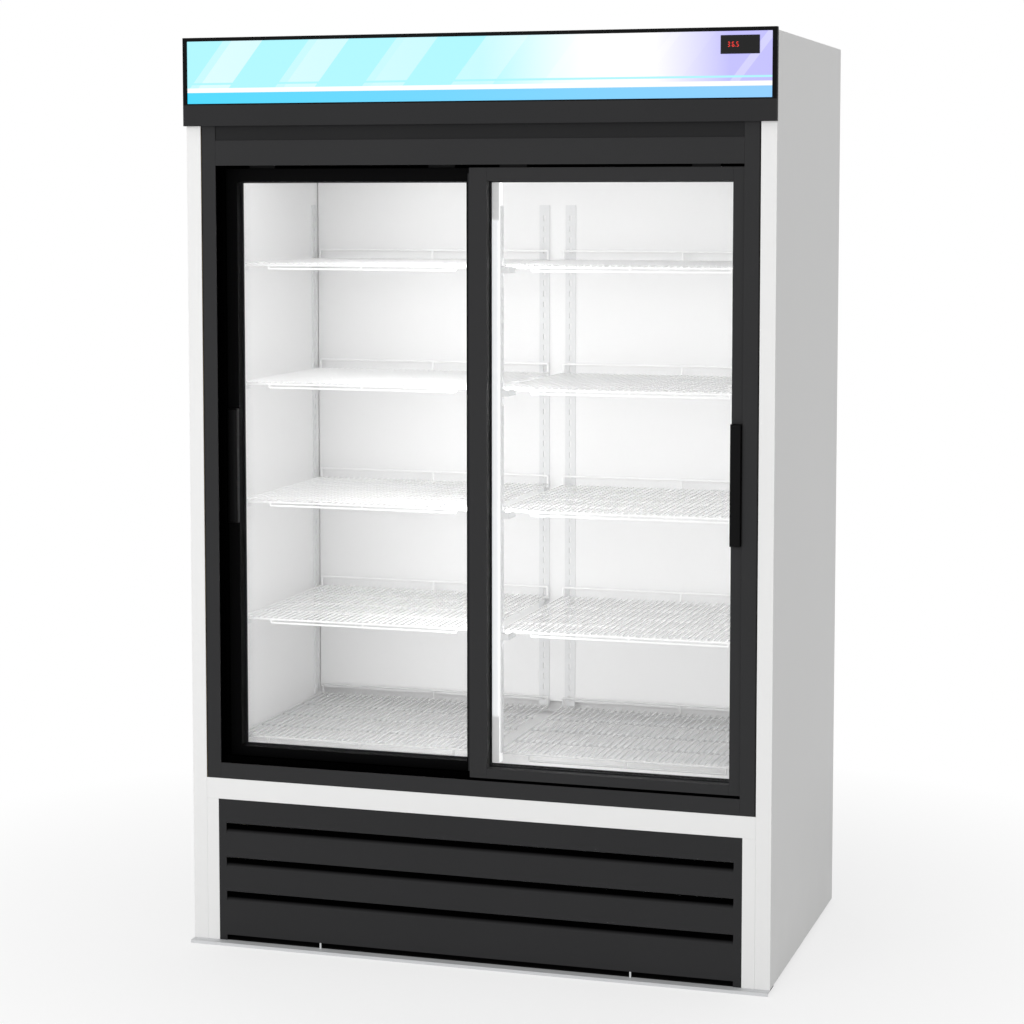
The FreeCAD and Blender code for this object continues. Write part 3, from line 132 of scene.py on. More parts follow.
class MerchandiserColours(bpy.types.PropertyGroup):
    """Colours of the finishes."""

    enamel: hue("Enamel", "White outer sheet", (0.87, 0.87, 0.865))
    liner: hue("Liner", "White inner sheet", (0.87, 0.87, 0.87))
    # The wire coat is set whiter than the liner as painted light on the shelf tops.
    wire: hue("Wire coat", "Epoxy on the shelves", (0.95, 0.95, 0.95))
    # The deck coat is the shelves' white epoxy, darkened as painted shade at the floor of the cabinet.
    deck: hue("Deck coat", "Epoxy on the floor racks", (0.70, 0.70, 0.70))
    charcoal: hue("Charcoal", "Header, door frame and front door", (0.026, 0.026, 0.027))
    # Black is also painted shade: the rear door and the base pan take it in place of charcoal and zinc.
    black: hue("Black", "Rear door, handles and hidden dark pieces", (0.0018, 0.0018, 0.002))
    grille: hue("Grille", "Front grille", (0.022, 0.022, 0.023))
    toe: hue("Toe rail", "Pale rail at the floor", (0.69, 0.70, 0.71))
    standard: hue("Standard", "Slotted standards and shelf clips", (0.76, 0.765, 0.77))
    zinc: hue("Zinc", "Galvanised sheet", (0.56, 0.57, 0.58))
    aluminium: hue("Aluminium", "Fins and track", (0.72, 0.73, 0.74))
    copper: hue("Copper", "Refrigerant lines", (0.72, 0.36, 0.22))
    rubber: hue("Rubber", "Gaskets, feet and cord inlet", (0.012, 0.012, 0.013))
    nylon: hue("Nylon", "Door rollers", (0.06, 0.06, 0.06))
    moulding: hue("Moulding", "Fans and drain pan", (0.025, 0.025, 0.027))
    motor: hue("Motor", "Motor cans and panel screws", (0.09, 0.09, 0.10))
    foam: hue("Foam", "Insulation", (0.78, 0.66, 0.42))
    digits: hue("Digits", "Lit digits of the thermometer", (1.0, 0.035, 0.02))
    sign_pale: hue("Sign pale", "Left end of the sign", (0.40, 0.91, 1.0))
    sign_bright: hue("Sign bright", "Lower stripe of the sign", (0.02, 0.68, 1.0))
    sign_violet: hue("Sign violet", "Right end of the sign", (0.52, 0.50, 1.0))


class MerchandiserStage(bpy.types.PropertyGroup):
    """Camera and light."""

    camera: FloatVectorProperty(name="Camera", description="Place of the camera", subtype="TRANSLATION",
                                default=(1.6693, -5.4685, 1.6529))
    yaw: number("Yaw", "Camera turn to the left", 0.3009, "ROTATION")
    dip: number("Dip", "Camera tilt below level", 0.0829, "ROTATION")
    lens: number("Lens", "Focal length in millimetres", 89.19)
    sensor: number("Sensor", "Sensor width in millimetres", 36.0)
    shift_x: number("Shift X", "Sideways shift of the frame", 0.0015)
    shift_y: number("Shift Y", "Upward shift of the frame", -0.10)
    world: number("Sky light", "Light from all round", 0.57)
    key: number("Key light", "Large lamp in front", 124.0, "POWER")
    inside: number("Inside light", "Light behind the doors", 2.95, "POWER")
    strip: number("Strip light", "Light from each side of the post", 2.0, "POWER")
    top: number("Top light", "Light above the top shelf", 0.48, "POWER")


class Signal:
    """One output socket of a node. Arithmetic on it adds Math nodes."""

    def __init__(self, graph, socket):
        self.graph = graph
        self.socket = socket

    def math(self, operation, first, second):
        return self.graph.node("ShaderNodeMath", {"operation": operation}, {0: first, 1: second})

    def __add__(self, other):
        return self.math("ADD", self, other)

    def __sub__(self, other):
        return self.math("SUBTRACT", self, other)

    def __rsub__(self, other):
        return self.math("SUBTRACT", other, self)

    def __mul__(self, other):
        return self.math("MULTIPLY", self, other)

    __radd__ = __add__
    __rmul__ = __mul__

    def __truediv__(self, other):
        return self.math("DIVIDE", self, other)

    def __neg__(self):
        return self.math("SUBTRACT", 0.0, self)

    def __lt__(self, other):
        return self.math("LESS_THAN", self, other)

    def __gt__(self, other):
        return self.math("GREATER_THAN", self, other)

    def fraction(self):
        return self.math("FRACT", self, 0.0)

    def root(self):
        return self.math("SQRT", self, 0.0)

    def clamped(self):
        return self.graph.node("ShaderNodeClamp", {}, {"Value": self})


class Graph:
    """A node tree that is filled by one call for each node."""

    def __init__(self, tree):
        self.tree = tree

    def node(self, kind, settings=None, sockets=None, output=0):
        made = self.tree.nodes.new(kind)
        for key, value in (settings or {}).items():
            if key == "stops":
                self.set_stops(made.color_ramp, value)
            else:
                setattr(made, key, value)
        for key, value in (sockets or {}).items():
            for one in value if isinstance(value, list) else [value]:
                if isinstance(one, Signal):
                    self.tree.links.new(one.socket, made.inputs[key])
                else:
                    made.inputs[key].default_value = one
        return Signal(self, made.outputs[output]) if made.outputs else made

    @staticmethod
    def set_stops(ramp, stops):
        while len(ramp.elements) < len(stops):
            ramp.elements.new(1.0)
        for element, (at, colour) in zip(ramp.elements, stops):
            element.position = at
            element.color = colour

    def vector(self, x=0.0, y=0.0, z=0.0):
        return self.node("ShaderNodeCombineXYZ", {}, {0: x, 1: y, 2: z})


class Finish(Graph):
    """A material whose textures lie in the object's own space."""

    def __init__(self, name):
        self.material = bpy.data.materials.new(name)
        self.material.use_nodes = True
        super().__init__(self.material.node_tree)
        self.tree.nodes.clear()
        self.place = self.node("ShaderNodeTexCoord", {}, {}, "Object")

    def noise(self, scale, detail=2.0, place=None):
        return self.node("ShaderNodeTexNoise", {},
                         {"Vector": place or self.place, "Scale": scale, "Detail": detail})

    def axes(self):
        split = self.node("ShaderNodeSeparateXYZ", {}, {0: self.place}).socket.node
        return [Signal(self, socket) for socket in split.outputs]

    def stretched(self, x, y, z):
        return self.node("ShaderNodeMapping", {}, {"Vector": self.place, "Scale": (x, y, z)})

    def mix(self, share, first, second):
        return self.node("ShaderNodeMix", {"data_type": "RGBA"}, {0: share, 6: first, 7: second}, 2)

    def toned(self, share, colour, first, second):
        """One of the colours, scaled by first where share is nought and by second where it is one."""
        return self.mix(share, shaded(paint(colour), first), shaded(paint(colour), second))

    def bump(self, height, strength, distance):
        return self.node("ShaderNodeBump", {},
                         {"Height": height, "Strength": strength, "Distance": distance})

    def shade(self, **values):
        """A surface shader; underscores in the names stand for spaces."""
        sockets = {key.replace("_", " "): value for key, value in values.items()}
        return self.node("ShaderNodeBsdfPrincipled", {}, sockets)

    def done(self, shader):
        self.node("ShaderNodeOutputMaterial", {}, {"Surface": shader})
        return self.material

    def coated(self, **values):
        """The material with a single surface shader."""
        return self.done(self.shade(**values))


class Jig(Graph):
    """A geometry node tree with named inputs for its sizes."""

    def __init__(self, name, points=False):
        super().__init__(bpy.data.node_groups.new(name, "GeometryNodeTree"))
        self.tree.interface.new_socket(name="Geometry", in_out="OUTPUT", socket_type="NodeSocketGeometry")
        self.start = self.tree.nodes.new("NodeGroupInput")
        self.points = self.input("Points", "NodeSocketGeometry") if points else None

    def input(self, name, kind, default=None):
        socket = self.tree.interface.new_socket(name=name, in_out="INPUT", socket_type=kind)
        if default is not None:
            socket.default_value = default
        return Signal(self, self.start.outputs[name])

    def inputs(self, **defaults):
        """An input for each size, in this order; underscores in the names stand for spaces."""
        return [self.input(name.replace("_", " "), SOCKETS[type(default)], default)
                for name, default in defaults.items()]

    def row(self, number, first, step):
        return self.node("GeometryNodeMeshLine", {"mode": "OFFSET"},
                         {"Count": number, "Start Location": first, "Offset": step})

    def rod(self, first, last, radius):
        path = self.node("GeometryNodeCurvePrimitiveLine", {}, {"Start": first, "End": last})
        return self.tube(path, radius)

    def circle(self, corners, radius):
        return self.node("GeometryNodeCurvePrimitiveCircle", {},
                         {"Resolution": corners, "Radius": radius})

    def tube(self, path, radius):
        return self.node("GeometryNodeCurveToMesh", {},
                         {"Curve": path, "Profile Curve": self.circle(8, radius), "Fill Caps": True})

    def cube(self, size):
        return self.node("GeometryNodeMeshCube", {}, {"Size": size})

    def moved(self, shape, place, turn=ORIGIN):
        return self.node("GeometryNodeTransform", {},
                         {"Geometry": shape, "Translation": place, "Rotation": turn})

    def at(self, points, shape, scale=(1.0, 1.0, 1.0)):
        return self.node("GeometryNodeInstanceOnPoints", {},
                         {"Points": points, "Instance": shape, "Scale": scale})

    def joined(self, shapes):
        return self.node("GeometryNodeJoinGeometry", {}, {"Geometry": shapes})

    def realized(self, shape):
        return self.node("GeometryNodeRealizeInstances", {}, {"Geometry": shape})

    def done(self, shapes, material):
        solid = self.realized(self.joined(shapes))
        coated = self.node("GeometryNodeSetMaterial", {}, {"Geometry": solid, "Material": material})
        self.node("NodeGroupOutput", {}, {0: coated})
        return self.tree


def grown(name, tree, points=(), **values):
    """A plain mesh object from a geometry node tree; underscores in the names stand for spaces."""
    mesh = bpy.data.meshes.new(name)
    mesh.from_pydata(list(points), [], [])
    holder = bpy.data.objects.new(name, mesh)
    bpy.context.scene.collection.objects.link(holder)
    modifier = holder.modifiers.new("jig", "NODES")
    modifier.node_group = tree
    inputs = {item.name: item.identifier for item in tree.interface.items_tree if item.in_out == "INPUT"}
    for key, value in values.items():
        modifier[inputs[key.replace("_", " ")]] = value
    shown = holder.evaluated_get(bpy.context.evaluated_depsgraph_get())
    holder.data = bpy.data.meshes.new_from_object(shown)
    holder.modifiers.clear()
    return holder


def sizes():
    return bpy.context.scene.merchandiser_sizes


def paint(name):
    return (*getattr(bpy.context.scene.merchandiser_colours, name), 1.0)


def shaded(colour, share):
    """A colour with its light scaled by share."""
    return (*(value * share for value in colour[:3]), 1.0)


def blended(first, second, share):
    """A colour on the way from the first to the second."""
    return tuple(a + (b - a) * share for a, b in zip(first, second))


def kept(make):
    """Runs a finish once for each set of values and hands out the same material afterwards."""
    done = {}

    def ask(*values):
        if values not in done:
            done[values] = make(Finish("_".join([make.__name__, *map(str, values)])), *values)
        return done[values]
    return ask


@kept
def toe_enamel(f, colour):
    """Pale rail in front of the grille, painted black where it runs back beneath the machine: painted
    shade in the recess.
    """
    unshaded_depth, fade = 0.0025, 0.002
    # Painted shade: a little way behind the front face the rail turns black and rougher, for the shade in
    # the recess under the grille.
    recess_shade = ((f.axes()[1] - (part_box("front_apron")[0].y + unshaded_depth)) / fade).clamped()
    clouds = f.noise(6.0, 4.0)
    return f.coated(Base_Color=f.mix(recess_shade, f.toned(clouds, colour, 0.93, 1.0), paint("black")),
                    Roughness=0.4 + recess_shade * 0.4, Specular_IOR_Level=0.25,
                    Normal=f.bump(clouds, 0.05, 0.0005))


@kept
def enamel(f, colour):
    """Stoved paint on sheet: a faint orange peel, soft clouding and a little dust near the floor."""
    dusty = 0.35
    clouds = f.noise(1.6, 4.0)
    peel = f.noise(650.0, 2.0)
    low = (1.0 - f.axes()[2] / dusty).clamped()
    dust = low * f.noise(11.0, 6.0) * 0.16
    tint = f.mix(dust, f.toned(clouds, colour, 0.97, 1.0), shaded(paint(colour), 0.7))
    return f.coated(Base_Color=tint, Roughness=0.42 + clouds * 0.10 + dust, Specular_IOR_Level=0.15,
                    Normal=f.bump(peel, 0.10, 0.0004))


@kept
def liner_coat(f, colour):
    """Pre-coated inner sheet with a fine stucco."""
    stucco = f.noise(240.0, 3.0)
    clouds = f.noise(2.2, 3.0)
    return f.coated(Base_Color=f.toned(clouds, colour, 0.97, 1.0), Roughness=0.42 + stucco * 0.12,
                    Normal=f.bump(stucco, 0.12, 0.0004))


@kept
def powder_coat(f, colour, deep=0.0, sheen=0.18):
    """Dark powder coat with fine grain, uneven sheen and pale scuffs; painted shade, dull black, beyond a
    given depth.
    """
    scuffed, lit = 0.70, 0.001
    grain = f.noise(1400.0, 2.0)
    clouds = f.noise(3.0, 4.0)
    streak = f.noise(1.0, 5.0, f.stretched(14.0, 14.0, 120.0))
    scuff = (streak - scuffed).clamped() * 0.5
    tint = f.mix(scuff, f.toned(clouds, colour, 0.85, 1.12), shaded(paint(colour), 2.5))
    skin = f.shade(Base_Color=tint, Roughness=0.48 + clouds * 0.12 + grain * 0.06,
                   Specular_IOR_Level=sheen, Normal=f.bump(grain, 0.16, 0.0003))
    if not deep:
        return f.done(skin)
    # Painted shade: beyond the given depth behind the front face the coat fades to dull black, for the
    # shade inside reveals and slots.
    inward = (f.axes()[1] - (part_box("front_apron")[0].y + lit)) / deep
    painted_shade = f.shade(Base_Color=shaded(paint("black"), 0.3), Roughness=0.9, Specular_IOR_Level=0.0)
    return f.done(f.node("ShaderNodeMixShader", {}, {0: inward.clamped(), 1: skin, 2: painted_shade}))


@kept
def header_coat(f, colour):
    """Charcoal rail under the sign, with a black border up its sides and over it."""
    grain = f.noise(1400.0, 2.0)
    clouds = f.noise(3.0, 4.0)
    border = f.axes()[2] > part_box("sign_panel")[0].z
    return f.coated(Base_Color=f.mix(border, f.toned(clouds, colour, 0.85, 1.12), paint("black")),
                    Roughness=0.50 + clouds * 0.12 + grain * 0.06, Specular_IOR_Level=0.12,
                    Normal=f.bump(grain, 0.16, 0.0003))


@kept
def moulded(f, colour, sheen=0.3):
    """Injection moulding with a fine spark texture."""
    spark = f.noise(900.0, 3.0)
    clouds = f.noise(9.0, 2.0)
    return f.coated(Base_Color=f.toned(clouds, colour, 0.9, 1.08), Roughness=0.36 + spark * 0.14,
                    Specular_IOR_Level=sheen, Normal=f.bump(spark, 0.12, 0.0003))


@kept
def soft_rubber(f, colour):
    """Black rubber with pores and a pale bloom."""
    bloom = f.noise(25.0, 4.0)
    pores = f.noise(1800.0, 2.0)
    return f.coated(Base_Color=f.toned(bloom, colour, 1.0, 1.9), Roughness=0.66 + bloom * 0.14,
                    Specular_IOR_Level=0.2, Normal=f.bump(pores, 0.20, 0.0003))


@kept
def galvanised(f, colour):
    """Zinc sheet with its crystal spangle and faint rolling marks."""
    cells = f.node("ShaderNodeTexVoronoi", {}, {"Vector": f.place, "Scale": 70.0}, "Color")
    spangle = f.node("ShaderNodeSeparateColor", {}, {0: cells})
    marks = f.noise(1.0, 3.0, f.stretched(6.0, 6.0, 300.0))
    return f.coated(Base_Color=f.toned(spangle, colour, 0.82, 1.1), Metallic=0.85,
                    Roughness=0.34 + spangle * 0.16 + marks * 0.06, Normal=f.bump(marks, 0.06, 0.0003))


@kept
def drawn_metal(f, colour):
    """Bare drawn or rolled metal with fine lines along its length."""
    lines = f.noise(1.0, 2.0, f.stretched(30.0, 900.0, 900.0))
    tarnish = f.noise(18.0, 4.0)
    return f.coated(Base_Color=f.toned(tarnish, colour, 0.8, 1.0), Metallic=1.0,
                    Roughness=0.26 + lines * 0.16 + tarnish * 0.1, Normal=f.bump(lines, 0.08, 0.0002))


@kept
def rigid_foam(f, colour):
    """Cut foam with open cells."""
    cells = f.node("ShaderNodeTexVoronoi", {}, {"Vector": f.place, "Scale": 420.0})
    return f.coated(Base_Color=f.toned(cells, colour, 0.8, 1.0), Roughness=0.9,
                    Normal=f.bump(cells, 0.5, 0.001))


@kept
def float_glass(f):
    """Float glass: what it does not mirror passes straight through, with a trace of dust."""
    mirror = f.node("ShaderNodeFresnel", {}, {"IOR": 1.45})
    dust = f.noise(30.0, 6.0)
    return f.coated(Base_Color=(0.97, 0.97, 0.97, 1.0), Metallic=1.0, Roughness=0.015 + dust * 0.02,
                    Alpha=(mirror * 0.45 + dust * 0.004).clamped())


@kept
def opal_lens(f):
    """Lit lamp cover, a little uneven in its white."""
    dots = f.noise(60.0, 2.0)
    return f.coated(Base_Color=(0.9, 0.9, 0.9, 1.0), Roughness=0.35, Emission_Strength=0.75,
                    Emission_Color=f.mix(dots, (0.93, 0.96, 1.0, 1.0), WHITE))


@kept
def lit_post(f, colour):
    """White post cover with a painted glow: a faint emission that stands in for light falling on its
    front, though the post is no lamp.
    """
    grain = f.noise(300.0, 2.0)
    glow = f.mix(grain, shaded(WHITE, 0.40), shaded(WHITE, 0.46))
    return f.coated(Base_Color=paint(colour), Roughness=0.4 + grain * 0.1, Emission_Color=glow,
                    Emission_Strength=1.0, Normal=f.bump(grain, 0.08, 0.0003))


@kept
def lit_digit(f):
    """Red segments of the thermometer."""
    glow = f.noise(400.0, 1.0)
    return f.coated(Base_Color=(0.2, 0.0, 0.0, 1.0), Roughness=0.3, Emission_Strength=0.9,
                    Emission_Color=f.toned(glow, "digits", 1.0, 0.7))


@kept
def sign_print(f):
    """Backlit panel: a cool wash from end to end, slanted light bars and straight stripes below."""
    low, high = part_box("sign_panel")
    x, _, z = f.axes()
    along = (x - low.x) / (high.x - low.x)
    up = (z - low.z) / (high.z - low.z)
    pale, bright, violet = paint("sign_pale"), paint("sign_bright"), paint("sign_violet")
    stops = ((0.0, pale), (0.52, pale), (0.70, WHITE), (0.80, WHITE), (0.93, violet), (1.0, violet))
    wash = f.node("ShaderNodeValToRGB", {"stops": stops}, {0: along})
    bars, lean = 6.5, 0.55
    wide_bar, slim_bar = 0.36, 0.90
    slant = (along * bars - up * lean).fraction()
    light = (slant < wide_bar) * (1.0 - along) * 0.50 + (slant > slim_bar) * 0.25
    barred = f.mix(light.clamped(), wash, WHITE)
    foot_top, stripe_top, line_low, line_high = 0.19, 0.26, 0.31, 0.34
    striped = f.mix((up < stripe_top) * (up > foot_top), barred, WHITE)
    foot = f.mix(along, bright, blended(bright, violet, 0.45))
    footed = f.mix(up < foot_top, striped, foot)
    glow = f.mix((up < line_high) * (up > line_low), footed, pale)
    return f.coated(Base_Color=(0.03, 0.03, 0.03, 1.0), Roughness=0.22, Emission_Color=glow,
                    Emission_Strength=0.97)


def solids(node):
    """The triangles of each solid of a CAD node, as corner places; no edge of a whole solid is open."""
    mesh = frame["nodes"][node].data
    places = [tuple(vert.co) for vert in mesh.vertices]
    found, triangles, unpaired = [], [], set()
    for face in mesh.polygons:
        corners = [places[i] for i in face.vertices]
        triangles.append(corners)
        for start, end in zip(corners, corners[1:] + corners[:1]):
            if (end, start) in unpaired:
                unpaired.remove((end, start))
            else:
                unpaired.add((start, end))
        if not unpaired:
            found.append(triangles)
            triangles = []
    return found + [triangles] if triangles else found


def corners_of(triangles):
    return list(dict.fromkeys(place for triangle in triangles for place in triangle))


def merged(node):
    """A bmesh of a CAD node with its loose triangles joined, each solid by itself."""
    bm = bmesh.new()
    for triangles in solids(node):
        verts = {place: bm.verts.new(place) for place in corners_of(triangles)}
        for triangle in triangles:
            if len(set(triangle)) == len(triangle):
                bm.faces.new([verts[place] for place in triangle])
    return bm


def solid_boxes(node):
    """The lowest and highest corner of each solid of a CAD node, from left to right."""
    found = []
    for triangles in solids(node):
        axes = list(zip(*corners_of(triangles)))
        found.append((Vector(map(min, axes)), Vector(map(max, axes))))
    return sorted(found, key=lambda pair: tuple(pair[0]))


def body_of(node):
    return frame["nodes"][node]["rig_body"]


def axle(node):
    """The place of the joint that carries a node's body."""
    return Vector(next(joint["pos_m"] for joint in frame["joints"] if joint["child"] == body_of(node)))


def object_from(name, bm, material, smooth=None):
    """A new mesh object; smooth is the steepest angle in degrees that is still shaded round."""
    mesh = bpy.data.meshes.new(name)
    bm.to_mesh(mesh)
    bm.free()
    mesh.materials.append(material)
    if smooth:
        mesh.shade_smooth()
        mesh.set_sharp_from_angle(angle=math.radians(smooth))
    made = bpy.data.objects.new(name, mesh)
    bpy.context.scene.collection.objects.link(made)
    return made


def added(piece, node):
    """The piece rides with the body of a CAD node."""
    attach(piece, body_of(node))


def stands_for(piece, node):
    """The piece rides with a CAD node and is shown in its place."""
    added(piece, node)
    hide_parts(node)


def coat(node, material):
    """A better material for a CAD node that keeps its shape."""
    mesh = frame["nodes"][node].data
    mesh.materials.clear()
    mesh.materials.append(material)


def rounded(node, material, smooth=None):
    """A copy of a CAD node with its sharp edges rounded, shown in its place."""
    bm = merged(node)
    bmesh.ops.dissolve_limit(bm, angle_limit=FLAT, verts=bm.verts, edges=bm.edges)
    sharp = [edge for edge in bm.edges if len(edge.link_faces) == 2 and edge.calc_face_angle(0.0) > SHARP]
    bmesh.ops.bevel(bm, geom=sharp, offset=sizes().edge, segments=2, profile=0.7, affect="EDGES",
                    clamp_overlap=True)
    bmesh.ops.dissolve_degenerate(bm, dist=WELD, edges=bm.edges)
    stands_for(object_from(f"{node}_finished", bm, material, smooth), node)


class MERCHANDISER_OT_cabinet(bpy.types.Operator):
    """White outer sheet, zinc rear, insulation, liner, base, feet and toe rail"""

    bl_idname = "merchandiser.cabinet"
    bl_label = "Cabinet"

    def execute(self, context):
        for node in ("left_side_panel", "right_side_panel", "top_panel", "front_apron"):
            rounded(node, enamel("enamel"))
        for node in ("rear_panel", "header_housing", "rear_grille"):
            rounded(node, galvanised("zinc"))
        # The base pan takes black in place of zinc: painted shade, so the machine compartment reads dark
        # through the grille.
        rounded("base_pan", powder_coat("black"))
        rounded("toe_rail", toe_enamel("toe"))
        coat("foam_insulation", rigid_foam("foam"))
        coat("liner", liner_coat("liner"))
        rounded("levelling_feet", soft_rubber("rubber"), smooth=40)
        return {"FINISHED"}


class MERCHANDISER_OT_door_frame(bpy.types.Operator):
    """Dark frame round the doors and the upper track"""

    bl_idname = "merchandiser.door_frame"
    bl_label = "Door frame"

    def execute(self, context):
        # Past this depth the jambs, head and sill turn black: painted shade in their reveals.
        shade_depth = 0.003
        for node in ("frame_jambs", "frame_head", "frame_sill"):
            rounded(node, powder_coat("charcoal", shade_depth))
        rounded("upper_track", drawn_metal("aluminium"))
        return {"FINISHED"}


class MERCHANDISER_OT_doors(bpy.types.Operator):
    """Two sliding doors with glass, gaskets, handles, hangers and rollers"""

    bl_idname = "merchandiser.doors"
    bl_label = "Doors"

    def execute(self, context):
        # The rear (left) door takes black with less sheen in place of the front door's charcoal: painted
        # shade for the door behind.
        for side, colour, sheen in (("left", "black", 0.05), ("right", "charcoal", 0.18)):
            rounded(f"{side}_door_frame", powder_coat(colour, 0.0, sheen))
            rounded(f"{side}_door_handle", moulded("black", 0.1), smooth=40)
            rounded(f"{side}_door_gasket", soft_rubber("rubber"))
            rounded(f"{side}_door_hangers", powder_coat("black"), smooth=40)
            coat(f"{side}_door_glass", float_glass())
        rounded("meeting_seal", soft_rubber("rubber"))
        for node in ROLLERS:
            rounded(node, moulded("nylon"), smooth=40)
        return {"FINISHED"}


class MERCHANDISER_OT_header(bpy.types.Operator):
    """Header trim, lit sign and thermometer with its digits"""

    bl_idname = "merchandiser.header"
    bl_label = "Header"

    def execute(self, context):
        rounded("header_trim", header_coat("charcoal"))
        rounded("thermometer_case", moulded("black"), smooth=40)
        coat("sign_panel", sign_print())
        self.make_digits("365", point_after=1)
        return {"FINISHED"}

    def make_digits(self, number, point_after):
        low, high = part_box("thermometer_case")
        tall = sizes().digit_high
        wide = tall * 0.52
        thick = tall * 0.16
        pitch = tall * 0.86
        left = low.x + (high.x - low.x) * 0.19
        foot = (low.z + high.z) / 2 - tall / 2
        bm = bmesh.new()
        for i, sign in enumerate(number):
            for segment in SEGMENTS[sign]:
                self.add_segment(bm, segment, left + i * pitch, foot, wide, tall, thick, low.y)
        self.add_bar(bm, left + point_after * pitch + wide + thick * 0.4, foot, thick, thick, low.y)
        bmesh.ops.recalc_face_normals(bm, faces=bm.faces)
        added(object_from("thermometer_digits", bm, lit_digit()), "thermometer_case")

    def add_segment(self, bm, segment, x, z, wide, tall, thick, face):
        """One of the seven bars of a digit, lettered clockwise from the top with g in the middle."""
        half = tall / 2
        gap = thick * 0.6
        level = {"a": tall - thick, "g": half - thick / 2, "d": 0.0}
        if segment in level:
            self.add_bar(bm, x + gap, z + level[segment], wide - gap * 2, thick, face)
        else:
            across = wide - thick if segment in "bc" else 0.0
            rise = half if segment in "bf" else 0.0
            self.add_bar(bm, x + across, z + rise + gap, thick, half - gap * 2, face)

    def add_bar(self, bm, x, z, wide, tall, face):
        """A slim lit bar with pointed ends, a little proud of the case."""
        sunk, proud = 0.0002, 0.0003
        tip = min(wide, tall) * 0.45
        if wide > tall:
            corners = [(0, tall / 2), (tip, 0), (wide - tip, 0),
                       (wide, tall / 2), (wide - tip, tall), (tip, tall)]
        else:
            corners = [(wide / 2, 0), (wide, tip), (wide, tall - tip),
                       (wide / 2, tall), (0, tall - tip), (0, tip)]
        rear = [bm.verts.new((x + u, face + sunk, z + v)) for u, v in corners]
        front = [bm.verts.new((x + u, face - proud, z + v)) for u, v in corners]
        bm.faces.new(front)
        bm.faces.new(rear[::-1])
        for i in range(len(corners)):
            j = (i + 1) % len(corners)
            bm.faces.new((front[i], rear[i], rear[j], front[j]))


class MERCHANDISER_OT_front_grille(bpy.types.Operator):
    """Louvred grille in front of the machine compartment"""

    bl_idname = "merchandiser.front_grille"
    bl_label = "Front grille"

    def execute(self, context):
        # Past this depth the louvre blades turn black: painted shade inside the slots.
        shade_depth = 0.004
        rounded("front_grille", powder_coat("grille", shade_depth))
        return {"FINISHED"}


class MERCHANDISER_OT_inner_fittings(bpy.types.Operator):
    """Air duct panel, centre post, lamps, slotted standards and shelf clips"""

    bl_idname = "merchandiser.inner_fittings"
    bl_label = "Inner fittings"

    def execute(self, context):
        rounded("air_duct_panel", liner_coat("liner"))
        # The centre post carries painted light: a faint emission brightens its shaded front.
        rounded("center_mullion", lit_post("liner"))
        rounded("led_lamps", opal_lens())
        rounded("shelf_clips", enamel("standard"))
        self.make_standards()
        return {"FINISHED"}

    def make_standards(self):
        jig = self.strip_jig(enamel("standard"))
        bm = bmesh.new()
        for low, high in solid_boxes("shelf_standards"):
            across, inward, tall = (b - a for a, b in zip(low, high))
            strip = grown("standard", jig, Length=tall, Width=max(across, inward),
                          Depth=min(across, inward), Pitch=sizes().slot_pitch, Slot=sizes().slot_high,
                          Slot_width=sizes().slot_wide, Rungs=int(tall / sizes().slot_pitch))
            turn = Matrix() if across > inward else Matrix.Rotation(QUARTER, 4, "Z")
            middle = (low + high) / 2
            strip.data.transform(Matrix.Translation((middle.x, middle.y, low.z)) @ turn)
            bm.from_mesh(strip.data)
            bpy.data.objects.remove(strip)
        stands_for(object_from("shelf_standards_slotted", bm, enamel("standard")), "shelf_standards")

    def strip_jig(self, material):
        """A strip along Z with a row of slots: two side bands and the rungs between the slots."""
        jig = Jig("slotted_standard")
        tall, wide, deep, pitch, slot, gap, rungs = jig.inputs(
            Length=1.2, Width=0.025, Depth=0.003, Pitch=0.0254, Slot=0.013, Slot_width=0.005, Rungs=40)
        band = jig.cube(jig.vector((wide - gap) / 2, deep, tall))
        bands = [jig.moved(band, jig.vector(side * (wide + gap) / 4, 0.0, tall / 2)) for side in (-1, 1)]
        rung = jig.cube(jig.vector(gap, deep, pitch - slot))
        row = jig.row(rungs, jig.vector(z=(pitch - slot) / 2), jig.vector(z=pitch))
        rest = tall - pitch * rungs
        cap = jig.moved(jig.cube(jig.vector(gap, deep, rest)), jig.vector(z=tall - rest / 2))
        return jig.done([*bands, jig.at(row, rung), cap], material)


